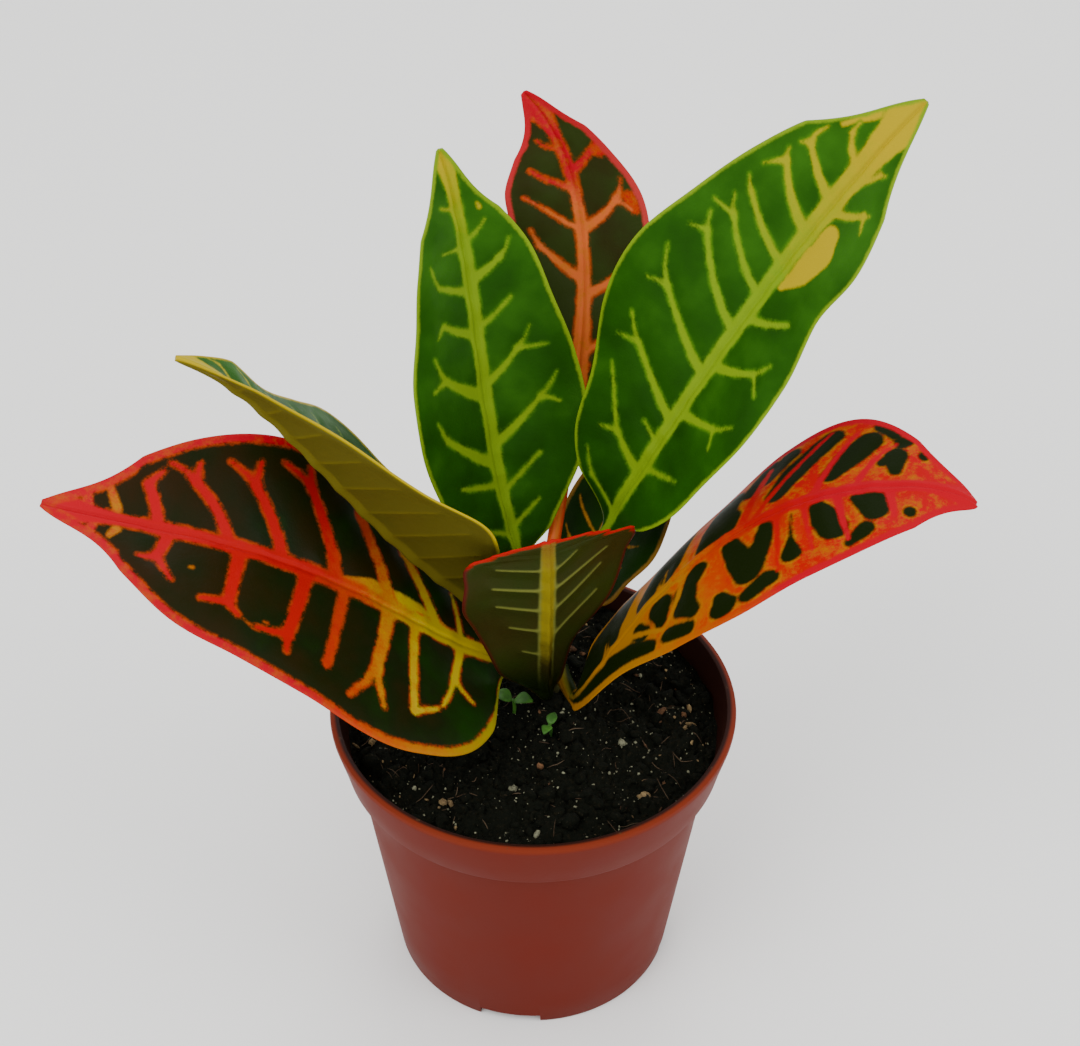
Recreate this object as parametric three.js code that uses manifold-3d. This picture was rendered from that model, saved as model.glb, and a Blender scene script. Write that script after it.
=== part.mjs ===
// Potted croton: a small foliage plant with eight leaves in a nine centimetre pot.
// Units are millimetres and +Z is up. The pot stands on Z = 0 with its axis on Z.
import * as THREE from 'three';
import { mergeVertices } from 'three/addons/utils/BufferGeometryUtils.js';
import Module from 'manifold-3d';

const wasm = await Module();
wasm.setup();

// Pot
const RIM_RADIUS = 45;
const POT_HEIGHT = 72;
const COLLAR_HEIGHT = 13;
const COLLAR_FOOT_RADIUS = 42.4;
const COLLAR_STEP = 0.8;
const BODY_TOP_RADIUS = 39.8;
const BASE_RADIUS = 32.3;
const WALL = 1.6;
const RIM_LIP = 2.4;
const LIP_ROUNDING = 0.7;
const FLOOR_UNDERSIDE = 2.6;
const FLOOR_TOP = 4.4;
const FOOT_RING_WIDTH = 3.2;
const FOOT_DISC_RADIUS = 9;
const NOTCH_WIDTH = 14;
const NOTCH_HEIGHT = 2.5;
const NOTCH_COUNT = 4;
const NOTCH_TURN_DEGREES = -99.6;
const DRAIN_RADIUS = 3.5;
const DRAIN_CIRCLE = 19;
const POT_SIDES = 64;
const GAP = 0.3;

// Soil
const SOIL_EDGE_LEVEL = 64.2;
const SOIL_MOUND = 1.4;
const SOIL_ROUGHNESS = 0.6;
const SOIL_RINGS = 18;
const SOIL_SIDES = 84;
const LUMP_COUNT = 84;
const LUMP_SPREAD = 39;
const LUMP_RADIUS = [2.6, 5];
const LUMP_HEIGHT = 0.42;

// Stem, from its foot in the soil to the bud between the youngest leaves
const STEM_AXIS = [[2.5, 11, 34], [2.5, 11, 66], [3, 12, 86], [3.3, 13, 98], [3.4, 13.3, 103]];
const STEM_RADII = [3.4, 4, 3.4, 2.4, 0.8];
const STEM_SIDES = 16;

// Leaf section
const BLADE_THICKNESS = 0.8;
const RIDGE_HALF_WIDTH = 1.5;
const RIDGE_DEPTH = 1.7;
const RIDGE_TIP_DEPTH = 0.15;
const PETIOLE_STATIONS = 5;
const BLADE_STATIONS = 25;
const SIDE_COLUMNS = 4;
const PINCH_START = 0.84;
const PINCH = 0.2;

// Each leaf has five points that guide its midrib from the stem's axis to the tip, the
// share of that curve that is petiole, the way its first half points, the turn of the
// blade about the midrib, the lift of each half towards the upper face, the half widths
// from the blade's base to its tip, the droop of each half and the edge wave (height,
// count along the blade, phase of each half).
const LEAVES = [
  {
    name: 'leaf_tall_right',
    colour: 0x2c6b1a,
    midrib: [[3.5, 12, 86], [20, 14, 118], [35, 16, 150], [52, 15, 182], [71, 8, 212]],
    petiole: 0.17,
    across: [-0.56, 0.77, 0.3],
    turn: 0,
    lift: [17, 17],
    widths: [
      [1.8, 16, 21, 27, 28, 24, 19, 12, 0.7],
      [1.8, 12.5, 17, 20.3, 18.8, 15.6, 16.5, 9.5, 0.7],
    ],
    droop: [[0, 0], [0, 0]],
    wave: [1, 2.5, 0, 0.4],
  },
  {
    name: 'leaf_tall_left',
    colour: 0x2a5c1c,
    midrib: [[2.5, 12, 84], [-9, 23, 106], [-12, 34, 132], [-12, 40, 160], [-19, 40, 186]],
    petiole: 0.11,
    across: [-0.906, -0.332, 0.261],
    turn: 10,
    lift: [20, 20],
    widths: [
      [1.8, 14.5, 19.5, 23, 22.2, 17.5, 15.2, 10, 0.7],
      [1.8, 12, 20, 22.5, 21, 17.5, 14, 7, 0.7],
    ],
    droop: [[0, 0], [0, 0]],
    wave: [0.8, 2.5, 0.2, 0.7],
  },
  {
    name: 'leaf_tall_rear',
    colour: 0x3a2a16,
    midrib: [[3, 12.5, 94], [7, 42, 106], [13, 53, 134], [17, 68, 165], [-2, 66, 186]],
    petiole: 0.3,
    across: [-1, 0, 0],
    turn: 0,
    lift: [14, 14],
    widths: [
      [1.8, 9, 14, 16.5, 16.5, 15.8, 14.7, 8, 0.7],
      [1.8, 9, 13, 14.5, 15.3, 14.4, 10, 5.8, 0.7],
    ],
    droop: [[0, 0], [0, 0]],
    wave: [0.8, 2.5, 0.5, 0],
  },
  {
    name: 'leaf_folded_left',
    colour: 0x6a5f1e,
    midrib: [[2.5, 11.5, 80], [-18, 5, 99], [-38.5, 2, 120], [-46, -4, 155], [-67, -9, 168]],
    petiole: 0.14,
    across: [0.436, -0.895, 0.094],
    turn: 8,
    lift: [25, 25],
    widths: [
      [1.8, 15, 25, 29.5, 22.8, 15.5, 8.6, 5, 0.7],
      [1.8, 9.5, 17, 19.6, 24, 16.5, 9.1, 8.6, 0.7],
    ],
    droop: [[0, 0], [0, -0.15, -0.2, -0.15, 0, 0, 0, 0, 0]],
    wave: [0.6, 2.5, 0.5, 0],
  },
  {
    name: 'leaf_low_left',
    colour: 0x3b2a18,
    midrib: [[2.5, 11, 73], [-20, -6, 84], [-36, -1, 119], [-70, -11, 125], [-98, -8, 133]],
    petiole: 0.075,
    across: [0.09, -0.95, -0.17],
    turn: -18,
    lift: [13, 12],
    widths: [
      [3, 24.5, 31.5, 33, 30, 25.2, 20.4, 8.8, 0.7],
      [3, 13, 18, 22, 26, 25, 20.3, 11.5, 0.7],
    ],
    droop: [[0, 0], [0, 0.3, 0.38, 0.35, 0.18, 0, 0, 0, 0]],
    wave: [0.8, 2.5, 0.1, 0.6],
  },
  {
    name: 'leaf_low_right',
    colour: 0x8a3a1a,
    midrib: [[6.5, 11, 73], [10, -33, 67.5], [16.5, 19, 129], [77, -7, 142], [89, -6, 131]],
    petiole: 0.08,
    across: [0.1, 0.99, 0.02],
    turn: 5,
    lift: [0, 0],
    widths: [
      [2, 12.5, 15.5, 13.8, 15.1, 19.8, 20.7, 10.8, 0.7],
      [2, 4.5, 8.5, 18.3, 23.6, 21, 16.5, 9.5, 0.7],
    ],
    droop: [[0, 0.05, 0.15, 0.3, 0.25, 0.1, 0, 0, 0], [0, 0]],
    wave: [0.6, 2.5, 0.3, 0],
  },
  {
    name: 'leaf_short_front',
    colour: 0x4a4a1c,
    midrib: [[3, 11, 70], [2, -1, 64], [3, -2, 88], [3, -9, 114], [3, -14, 128]],
    petiole: 0.18,
    across: [0.82, 0.585, 0.06],
    turn: -10,
    lift: [0, 20],
    widths: [
      [1.8, 3.4, 4.6, 7, 11.5, 15.5, 18, 18.5, 0.8],
      [1.8, 5, 9.5, 12, 15, 17.5, 17, 15.5, 0.8],
    ],
    droop: [[0, 0], [0, 0]],
    wave: [0.8, 2.5, 0.3, 0],
  },
  {
    name: 'leaf_rear_right',
    colour: 0x23401a,
    midrib: [[3, 11.5, 77], [8, 22, 82], [17, 31, 98], [27, 36, 116], [38, 40, 134]],
    petiole: 0.16,
    across: [-0.45, 0.85, -0.1],
    turn: 0,
    lift: [10, 10],
    widths: [
      [1.8, 8, 13, 14, 14, 12.5, 9, 5.5, 0.7],
      [1.8, 14.5, 19, 21.8, 21.2, 20, 13.5, 6.5, 0.7],
    ],
    droop: [[0, 0], [0, 0]],
    wave: [0.8, 2.5, 0.3, 0.6],
  },
];

// Weed seedlings beside the stem: foot on the soil, height, and the length, width and
// direction of their first two leaves
const SEEDLING_STEM_RADIUS = 0.45;
const SEEDLING_ROOT_DEPTH = 3;
const SEEDLING_LEAF_THICKNESS = 0.7;
const SEEDLINGS = [
  { name: 'seedling_left', foot: [-4.5, 1.5], height: 4.6, leaf: [5, 3.6], direction: 165 },
  { name: 'seedling_front', foot: [3.6, -5], height: 3.6, leaf: [3.6, 2.4], direction: 250 },
];

// A value that runs smoothly through evenly spaced values as t goes from 0 to 1.
function track(values, t) {
  const last = values.length - 1;
  const x = Math.min(Math.max(t, 0), 1) * last;
  const i = Math.min(Math.floor(x), last - 1);
  const f = x - i;
  const b = values[i];
  const c = values[i + 1];
  const a = i === 0 ? 2 * b - c : values[i - 1];
  const d = i === last - 1 ? 2 * c - b : values[i + 2];
  return b + 0.5 * f * (c - a + f * (2 * a - 5 * b + 4 * c - d + f * (3 * (b - c) + d - a)));
}

// A point on the smooth curve that a row of guide points draws.
function curvePoint(guides, t) {
  let row = guides.map((p) => new THREE.Vector3(...p));
  while (row.length > 1) {
    row = row.slice(1).map((p, i) => row[i].clone().lerp(p, t));
  }
  return row[0];
}

// Where the blade is and which way it faces at a share t of the midrib.
function leafFrame(leaf, t) {
  const step = 0.001;
  const point = curvePoint(leaf.midrib, t);
  const along = curvePoint(leaf.midrib, Math.min(t + step, 1))
    .sub(curvePoint(leaf.midrib, Math.max(t - step, 0)))
    .normalize();
  const across = new THREE.Vector3(...leaf.across);
  across.addScaledVector(along, -across.dot(along)).normalize();
  across.applyAxisAngle(along, THREE.MathUtils.degToRad(leaf.turn));
  const up = along.clone().cross(across);
  return { point, across, up };
}

// A point on one half (0 or 1) of the blade, at a distance from the midrib and at a
// depth below the upper face.
function bladePoint(leaf, frame, s, half, distance, width, depth) {
  const sign = half === 0 ? 1 : -1;
  const lift = THREE.MathUtils.degToRad(leaf.lift[half]);
  const out = frame.across.clone().multiplyScalar(sign * Math.cos(lift));
  out.addScaledVector(frame.up, Math.sin(lift));
  const face = frame.up.clone().multiplyScalar(Math.cos(lift));
  face.addScaledVector(frame.across, -sign * Math.sin(lift));
  const share = distance / width;
  const [height, count, ...phases] = leaf.wave;
  const ripple = Math.sin(2 * Math.PI * (count * s + phases[half])) * Math.sin(Math.PI * s);
  const rise = share * share * (height * ripple - width * track(leaf.droop[half], s));
  return frame.point.clone().addScaledVector(out, distance).addScaledVector(face, rise - depth);
}

// The half width of a blade at a share s of its length; it narrows to a point at the tip.
function halfWidth(leaf, half, s) {
  const pinch = Math.sin(Math.PI * Math.max((s - PINCH_START) / (1 - PINCH_START), 0));
  return Math.max(track(leaf.widths[half], s) * (1 - PINCH * pinch), 0.5);
}

// The columns across a leaf from its first edge over the midrib to its second edge.
function leafColumns(leaf, s) {
  const columns = [];
  const ridgeShare = 1 - 0.75 * s;
  for (let k = SIDE_COLUMNS; k >= -SIDE_COLUMNS; k -= 1) {
    const half = k >= 0 ? 0 : 1;
    const width = halfWidth(leaf, half, s);
    const ridge = Math.min(RIDGE_HALF_WIDTH * ridgeShare, 0.7 * width);
    const n = Math.abs(k);
    const distance = n === 0 ? 0 : ridge + ((width - ridge) * (n - 1)) / (SIDE_COLUMNS - 1);
    const ridgeDepth = n === 0 ? RIDGE_TIP_DEPTH + (RIDGE_DEPTH - RIDGE_TIP_DEPTH) * (1 - s) : 0;
    columns.push({ half, width, distance, depth: BLADE_THICKNESS + ridgeDepth });
  }
  return columns;
}

// A leaf with its petiole as one solid: a row of closed sections along the midrib.
function leafSolid(leaf) {
  const stations = [];
  for (let i = 0; i < PETIOLE_STATIONS; i += 1) {
    stations.push((leaf.petiole * i) / PETIOLE_STATIONS);
  }
  for (let i = 0; i <= BLADE_STATIONS; i += 1) {
    stations.push(leaf.petiole + ((1 - leaf.petiole) * i) / BLADE_STATIONS);
  }
  const columnCount = 2 * SIDE_COLUMNS + 1;
  const vertices = [];
  const faces = [];
  for (const t of stations) {
    const s = Math.max((t - leaf.petiole) / (1 - leaf.petiole), 0);
    const frame = leafFrame(leaf, t);
    const columns = leafColumns(leaf, s);
    for (const under of [false, true]) {
      for (const c of columns) {
        const depth = under ? c.depth : 0;
        vertices.push(bladePoint(leaf, frame, s, c.half, c.distance, c.width, depth));
      }
    }
  }
  const at = (row, column, under) => row * 2 * columnCount + (under ? columnCount : 0) + column;
  const quad = (a, b, c, d) => faces.push(a, b, c, a, c, d);
  for (let i = 0; i + 1 < stations.length; i += 1) {
    for (let j = 0; j + 1 < columnCount; j += 1) {
      quad(at(i, j, false), at(i, j + 1, false), at(i + 1, j + 1, false), at(i + 1, j, false));
      faces.push(at(i, j, true), at(i + 1, j + 1, true), at(i, j + 1, true));
      faces.push(at(i, j, true), at(i + 1, j, true), at(i + 1, j + 1, true));
    }
    quad(at(i, 0, true), at(i, 0, false), at(i + 1, 0, false), at(i + 1, 0, true));
    const last = columnCount - 1;
    quad(at(i, last, false), at(i, last, true), at(i + 1, last, true), at(i + 1, last, false));
  }
  const end = stations.length - 1;
  for (let j = 0; j + 1 < columnCount; j += 1) {
    quad(at(0, j, true), at(0, j + 1, true), at(0, j + 1, false), at(0, j, false));
    quad(at(end, j, false), at(end, j + 1, false), at(end, j + 1, true), at(end, j, true));
  }
  return solidFromArrays(vertices, faces);
}

// A closed solid from points and triangles, turned to face outward.
function solidFromArrays(points, triangles) {
  const vertProperties = new Float32Array(points.length * 3);
  points.forEach((p, i) => p.toArray(vertProperties, 3 * i));
  const build = (list) =>
    new wasm.Manifold(new wasm.Mesh({ numProp: 3, vertProperties, triVerts: new Uint32Array(list) }));
  const solid = build(triangles);
  if (solid.volume() > 0) {
    return solid;
  }
  const flipped = [];
  for (let i = 0; i < triangles.length; i += 3) {
    flipped.push(triangles[i], triangles[i + 2], triangles[i + 1]);
  }
  return build(flipped);
}

// A closed solid from a geometry: doubled points are merged and flat slivers dropped.
function solidFromGeometry(geometry) {
  geometry.deleteAttribute('normal');
  geometry.deleteAttribute('uv');
  const merged = mergeVertices(geometry, 1e-4);
  const position = merged.getAttribute('position');
  const points = [];
  for (let i = 0; i < position.count; i += 1) {
    points.push(new THREE.Vector3().fromBufferAttribute(position, i));
  }
  const triangles = [];
  for (let i = 0; i < merged.index.count; i += 3) {
    const [a, b, c] = [0, 1, 2].map((k) => merged.index.getX(i + k));
    if (a !== b && b !== c && a !== c) {
      triangles.push(a, b, c);
    }
  }
  return solidFromArrays(points, triangles);
}

// A round solid whose axis and radius run through given values.
function roundedStalk(axis, radii, sides, extra) {
  const rows = (axis.length - 1) * 4;
  const points = [];
  const triangles = [];
  for (let i = 0; i <= rows; i += 1) {
    const t = i / rows;
    const centre = [0, 1, 2].map((k) => track(axis.map((p) => p[k]), t));
    const radius = track(radii, t) + extra;
    for (let j = 0; j < sides; j += 1) {
      const angle = (2 * Math.PI * j) / sides;
      const x = centre[0] + radius * Math.cos(angle);
      const y = centre[1] + radius * Math.sin(angle);
      const z = centre[2] + (i === 0 ? -extra : 0) + (i === rows ? extra : 0);
      points.push(new THREE.Vector3(x, y, z));
    }
  }
  for (let i = 0; i < rows; i += 1) {
    for (let j = 0; j < sides; j += 1) {
      const k = (j + 1) % sides;
      const a = i * sides + j;
      const b = i * sides + k;
      triangles.push(a, b, b + sides, a, b + sides, a + sides);
    }
  }
  for (let j = 1; j + 1 < sides; j += 1) {
    triangles.push(0, j + 1, j);
    triangles.push(rows * sides, rows * sides + j, rows * sides + j + 1);
  }
  return solidFromArrays(points, triangles);
}

// The pot's wall radius on the inside at a height.
function innerRadius(z) {
  const bodyTop = POT_HEIGHT - COLLAR_HEIGHT;
  if (z > bodyTop) {
    const share = (z - bodyTop) / COLLAR_HEIGHT;
    return COLLAR_FOOT_RADIUS - RIM_LIP + share * (RIM_RADIUS - COLLAR_FOOT_RADIUS);
  }
  const share = (z - FLOOR_TOP) / (bodyTop - FLOOR_TOP);
  const floorRadius = BASE_RADIUS - WALL + 0.5;
  return floorRadius + share * (COLLAR_FOOT_RADIUS - RIM_LIP - floorRadius);
}

function potSolid() {
  const bodyTop = POT_HEIGHT - COLLAR_HEIGHT;
  const profile = [
    [0, 0],
    [FOOT_DISC_RADIUS, 0],
    [FOOT_DISC_RADIUS, FLOOR_UNDERSIDE],
    [BASE_RADIUS - FOOT_RING_WIDTH, FLOOR_UNDERSIDE],
    [BASE_RADIUS - FOOT_RING_WIDTH, 0],
    [BASE_RADIUS - 0.6, 0],
    [BASE_RADIUS, 0.7],
    [BODY_TOP_RADIUS, bodyTop - COLLAR_STEP],
    [COLLAR_FOOT_RADIUS - 0.5, bodyTop],
    [COLLAR_FOOT_RADIUS, bodyTop + COLLAR_STEP],
    [RIM_RADIUS - 0.1, POT_HEIGHT - 2 * LIP_ROUNDING],
    [RIM_RADIUS, POT_HEIGHT - LIP_ROUNDING],
    [RIM_RADIUS - LIP_ROUNDING, POT_HEIGHT],
    [RIM_RADIUS - RIM_LIP + LIP_ROUNDING, POT_HEIGHT],
    [innerRadius(POT_HEIGHT - LIP_ROUNDING), POT_HEIGHT - LIP_ROUNDING],
    [innerRadius(bodyTop), bodyTop],
    [innerRadius(FLOOR_TOP), FLOOR_TOP],
    [0, FLOOR_TOP],
  ];
  const outline = profile.map(([r, z]) => new THREE.Vector2(r, z));
  const lathe = new THREE.LatheGeometry(outline, POT_SIDES);
  lathe.rotateX(Math.PI / 2);
  let pot = solidFromGeometry(lathe);
  for (let i = 0; i < NOTCH_COUNT; i += 1) {
    const turn = THREE.MathUtils.degToRad(NOTCH_TURN_DEGREES) + (2 * Math.PI * i) / NOTCH_COUNT;
    const notch = new THREE.BoxGeometry(3 * FOOT_RING_WIDTH, NOTCH_WIDTH, 2 * NOTCH_HEIGHT);
    notch.translate(BASE_RADIUS, 0, 0);
    notch.rotateZ(turn);
    pot = pot.subtract(solidFromGeometry(notch));
    const drain = new THREE.CylinderGeometry(DRAIN_RADIUS, DRAIN_RADIUS, 4 * FLOOR_TOP, 16);
    drain.rotateX(Math.PI / 2);
    drain.translate(DRAIN_CIRCLE, 0, FLOOR_TOP);
    drain.rotateZ(turn);
    pot = pot.subtract(solidFromGeometry(drain));
  }
  return pot;
}

// Lumps of peat on the soil, spread evenly by the golden angle and pushed off their places.
function soilLumps() {
  const lumps = [];
  for (let i = 0; i < LUMP_COUNT; i += 1) {
    const angle = 2.39996 * i;
    const reach = LUMP_SPREAD * Math.sqrt((i + 0.5) / LUMP_COUNT);
    const x = reach * Math.cos(angle) + 1.6 * Math.sin(12.9 * i);
    const y = reach * Math.sin(angle) + 1.6 * Math.sin(7.7 * i + 1);
    const share = 0.5 + 0.5 * Math.sin(5.3 * i);
    lumps.push({ x, y, radius: THREE.MathUtils.lerp(...LUMP_RADIUS, share) });
  }
  return lumps;
}

// Height of the soil's surface: a low mound, higher at the back, with lumps and unevenness.
function soilLevel(x, y) {
  const r = Math.hypot(x, y) / innerRadius(SOIL_EDGE_LEVEL);
  const uneven = Math.sin(0.71 * x + 1.3) * Math.sin(0.83 * y - 0.4) + 0.6 * Math.sin(1.1 * x - 0.9 * y);
  const backRise = 2.6 * Math.max(y / 42, 0) ** 2;
  let lump = 0;
  for (const { x: lumpX, y: lumpY, radius } of LUMPS) {
    const near = Math.max(1 - ((x - lumpX) ** 2 + (y - lumpY) ** 2) / (radius * radius), 0);
    lump = Math.max(lump, LUMP_HEIGHT * radius * near);
  }
  const mound = SOIL_MOUND * (1 - r * r);
  return SOIL_EDGE_LEVEL + mound + backRise + 0.5 * SOIL_ROUGHNESS * uneven + lump;
}

function soilSolid(holes) {
  const bottom = FLOOR_TOP + GAP;
  const points = [new THREE.Vector3(0, 0, soilLevel(0, 0))];
  const triangles = [];
  const ring = (radius, level) => {
    for (let j = 0; j < SOIL_SIDES; j += 1) {
      const angle = (2 * Math.PI * j) / SOIL_SIDES;
      const x = radius * Math.cos(angle);
      const y = radius * Math.sin(angle);
      points.push(new THREE.Vector3(x, y, level(x, y)));
    }
  };
  for (let i = 1; i <= SOIL_RINGS; i += 1) {
    ring(((innerRadius(SOIL_EDGE_LEVEL) - 2 * GAP) * i) / SOIL_RINGS, soilLevel);
  }
  ring(innerRadius(POT_HEIGHT - COLLAR_HEIGHT) - 2 * GAP, () => POT_HEIGHT - COLLAR_HEIGHT);
  ring(innerRadius(bottom) - 2 * GAP, () => bottom);
  points.push(new THREE.Vector3(0, 0, bottom));
  const rings = SOIL_RINGS + 2;
  const centre = points.length - 1;
  for (let j = 0; j < SOIL_SIDES; j += 1) {
    const k = (j + 1) % SOIL_SIDES;
    triangles.push(0, 1 + j, 1 + k);
    for (let i = 0; i + 1 < rings; i += 1) {
      const a = 1 + i * SOIL_SIDES;
      const b = a + SOIL_SIDES;
      triangles.push(a + j, b + j, b + k, a + j, b + k, a + k);
    }
    const foot = 1 + (rings - 1) * SOIL_SIDES;
    triangles.push(centre, foot + k, foot + j);
  }
  let soil = solidFromArrays(points, triangles);
  for (const hole of holes) {
    soil = soil.subtract(hole);
  }
  return soil;
}

// The seedling's thin stalk, from its root end to its leaves.
function seedlingStalk(seedling, extra) {
  const [x, y] = seedling.foot;
  const ground = soilLevel(x, y);
  const top = ground + seedling.height;
  const axis = [[x, y, ground - SEEDLING_ROOT_DEPTH], [x, y, ground], [x, y, top]];
  const radii = [SEEDLING_STEM_RADIUS, SEEDLING_STEM_RADIUS, SEEDLING_STEM_RADIUS];
  return roundedStalk(axis, radii, 8, extra);
}

function seedlingSolid(seedling) {
  const [x, y] = seedling.foot;
  const [length, width] = seedling.leaf;
  let solid = seedlingStalk(seedling, 0);
  for (const side of [0, 180]) {
    const leaf = new THREE.SphereGeometry(0.5, 14, 8);
    leaf.rotateX(Math.PI / 2);
    leaf.scale(length, width, SEEDLING_LEAF_THICKNESS);
    leaf.translate(0.45 * length, 0, 0);
    leaf.rotateY(THREE.MathUtils.degToRad(-18));
    leaf.rotateZ(THREE.MathUtils.degToRad(seedling.direction + side));
    leaf.translate(x, y, soilLevel(x, y) + seedling.height - 0.3);
    solid = solid.add(solidFromGeometry(leaf));
  }
  return solid;
}

// A named mesh from a solid.
function mesh(name, solid, colour, roughness) {
  const data = solid.getMesh();
  const geometry = new THREE.BufferGeometry();
  geometry.setAttribute('position', new THREE.BufferAttribute(data.vertProperties, 3));
  geometry.setIndex(new THREE.BufferAttribute(data.triVerts, 1));
  geometry.computeVertexNormals();
  const material = new THREE.MeshStandardMaterial({ color: colour, roughness, metalness: 0 });
  const result = new THREE.Mesh(geometry, material);
  result.name = name;
  return result;
}

const LUMPS = soilLumps();
const croton = new THREE.Group();
const stem = roundedStalk(STEM_AXIS, STEM_RADII, STEM_SIDES, 0);
const stemRoom = roundedStalk(STEM_AXIS, STEM_RADII, STEM_SIDES, GAP);
const seedlingRooms = SEEDLINGS.map((seedling) => seedlingStalk(seedling, GAP));

croton.add(mesh('pot', potSolid(), 0x7a2c1c, 0.45));
croton.add(mesh('soil', soilSolid([stemRoom, ...seedlingRooms]), 0x14110d, 0.95));
croton.add(mesh('stem', stem, 0x5d5a2a, 0.6));
for (const leaf of LEAVES) {
  croton.add(mesh(leaf.name, leafSolid(leaf).subtract(stemRoom), leaf.colour, 0.35));
}
for (const seedling of SEEDLINGS) {
  croton.add(mesh(seedling.name, seedlingSolid(seedling), 0x3f7a2a, 0.5));
}

export default croton;
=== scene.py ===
import math

import bmesh
import bpy
import numpy as np
from bpy.props import FloatProperty, FloatVectorProperty, IntProperty, PointerProperty
from mathutils import Matrix, Vector


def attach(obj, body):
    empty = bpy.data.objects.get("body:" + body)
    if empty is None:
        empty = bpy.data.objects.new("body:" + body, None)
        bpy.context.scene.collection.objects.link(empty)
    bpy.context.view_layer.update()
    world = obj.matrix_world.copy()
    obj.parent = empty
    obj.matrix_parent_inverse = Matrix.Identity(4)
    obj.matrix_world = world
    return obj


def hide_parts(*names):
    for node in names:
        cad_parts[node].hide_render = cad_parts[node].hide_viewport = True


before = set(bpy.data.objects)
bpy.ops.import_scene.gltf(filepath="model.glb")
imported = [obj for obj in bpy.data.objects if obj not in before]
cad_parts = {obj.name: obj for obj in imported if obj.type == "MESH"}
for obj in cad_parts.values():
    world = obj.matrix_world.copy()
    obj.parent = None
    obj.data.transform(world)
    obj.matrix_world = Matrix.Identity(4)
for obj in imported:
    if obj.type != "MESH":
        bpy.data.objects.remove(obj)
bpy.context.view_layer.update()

bl_info = {
    "name": "Potted croton",
    "version": (1, 0, 0),
    "blender": (4, 5, 0),
    "location": "View3D > Sidebar > Croton",
    "description": "Builds a young croton in a nursery pot, leaf by leaf",
    "category": "Add Mesh",
}

MM = 0.001


def linear(hex_colour):
    """sRGB hex text as a linear colour with full alpha."""
    levels = [int(hex_colour[n:n + 2], 16) / 255.0 for n in (1, 3, 5)]
    return tuple(v / 12.92 if v <= 0.04045 else ((v + 0.055) / 1.055) ** 2.4 for v in levels) + (1.0,)


def colour_property(name, description, hex_colour):
    """A colour swatch for the sidebar."""
    return FloatVectorProperty(name=name, description=description, subtype="COLOR", size=4,
                               min=0.0, max=1.0, default=linear(hex_colour))


# Sizes and pigments a grower would change

class CrotonPigments(bpy.types.PropertyGroup):
    """The colours that the leaves mix."""

    green: colour_property("Green", "Blade of a green leaf", "#1a4800")
    young_green: colour_property("Young green", "Lighter places in a green blade", "#32650e")
    spring: colour_property("Spring green", "Fuzzy edge of a pale vein", "#457208")
    deep_green: colour_property("Deep green", "Shaded places in a green blade", "#0c2f00")
    black_green: colour_property("Black green", "Blade of a red leaf between its veins", "#111a04")
    bronze: colour_property("Bronze", "Brownish places in a dark blade", "#251502")
    lime: colour_property("Lime", "Veins of a green leaf", "#6f8b10")
    yellow: colour_property("Yellow", "Blotches and tips", "#a79100")
    gold: colour_property("Gold", "Old yellow near the leaf foot", "#9c6600")
    orange: colour_property("Orange", "Where yellow turns red", "#a83604")
    scarlet: colour_property("Scarlet", "Red veins", "#a40804")
    crimson: colour_property("Crimson", "Tips and margins of red leaves", "#a60019")
    coral: colour_property("Coral", "Veins of the red leaf at the back", "#c05a26")
    rose: colour_property("Rose", "Margin of the red leaf at the back", "#ad3c36")
    olive: colour_property("Olive", "Underside of a yellow leaf", "#504a14")
    dull_green: colour_property("Dull green", "Underside of a green leaf", "#26300b")
    cream: colour_property("Cream", "Ribs on the underside", "#666a2c")
    wine: colour_property("Wine", "Underside of a red leaf", "#4d1812")
    tan: colour_property("Tan", "Dry thin margins", "#73521c")
    khaki: colour_property("Khaki", "Faint ribs on a yellow underside", "#5d5514")
    keel: colour_property("Keel", "Midrib on the underside", "#7d7019")
    moss: colour_property("Moss", "Browner places on an underside", "#2f280c")


class CrotonLeafSizes(bpy.types.PropertyGroup):
    """Sizes shared by the eight leaves."""

    blade_thickness: FloatProperty(name="Blade thickness", description="Thickness between the veins, in mm",
                                   default=0.6, min=0.3, max=1.0)
    quilting: FloatProperty(name="Quilting", description="Swelling of the blade between side veins, in mm",
                            default=0.35, min=0.0, max=1.0)
    stations: IntProperty(name="Stations", description="Cross sections along each blade", default=190, min=40)
    columns: IntProperty(name="Columns", description="Points across half of each face", default=42, min=10)


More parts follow.
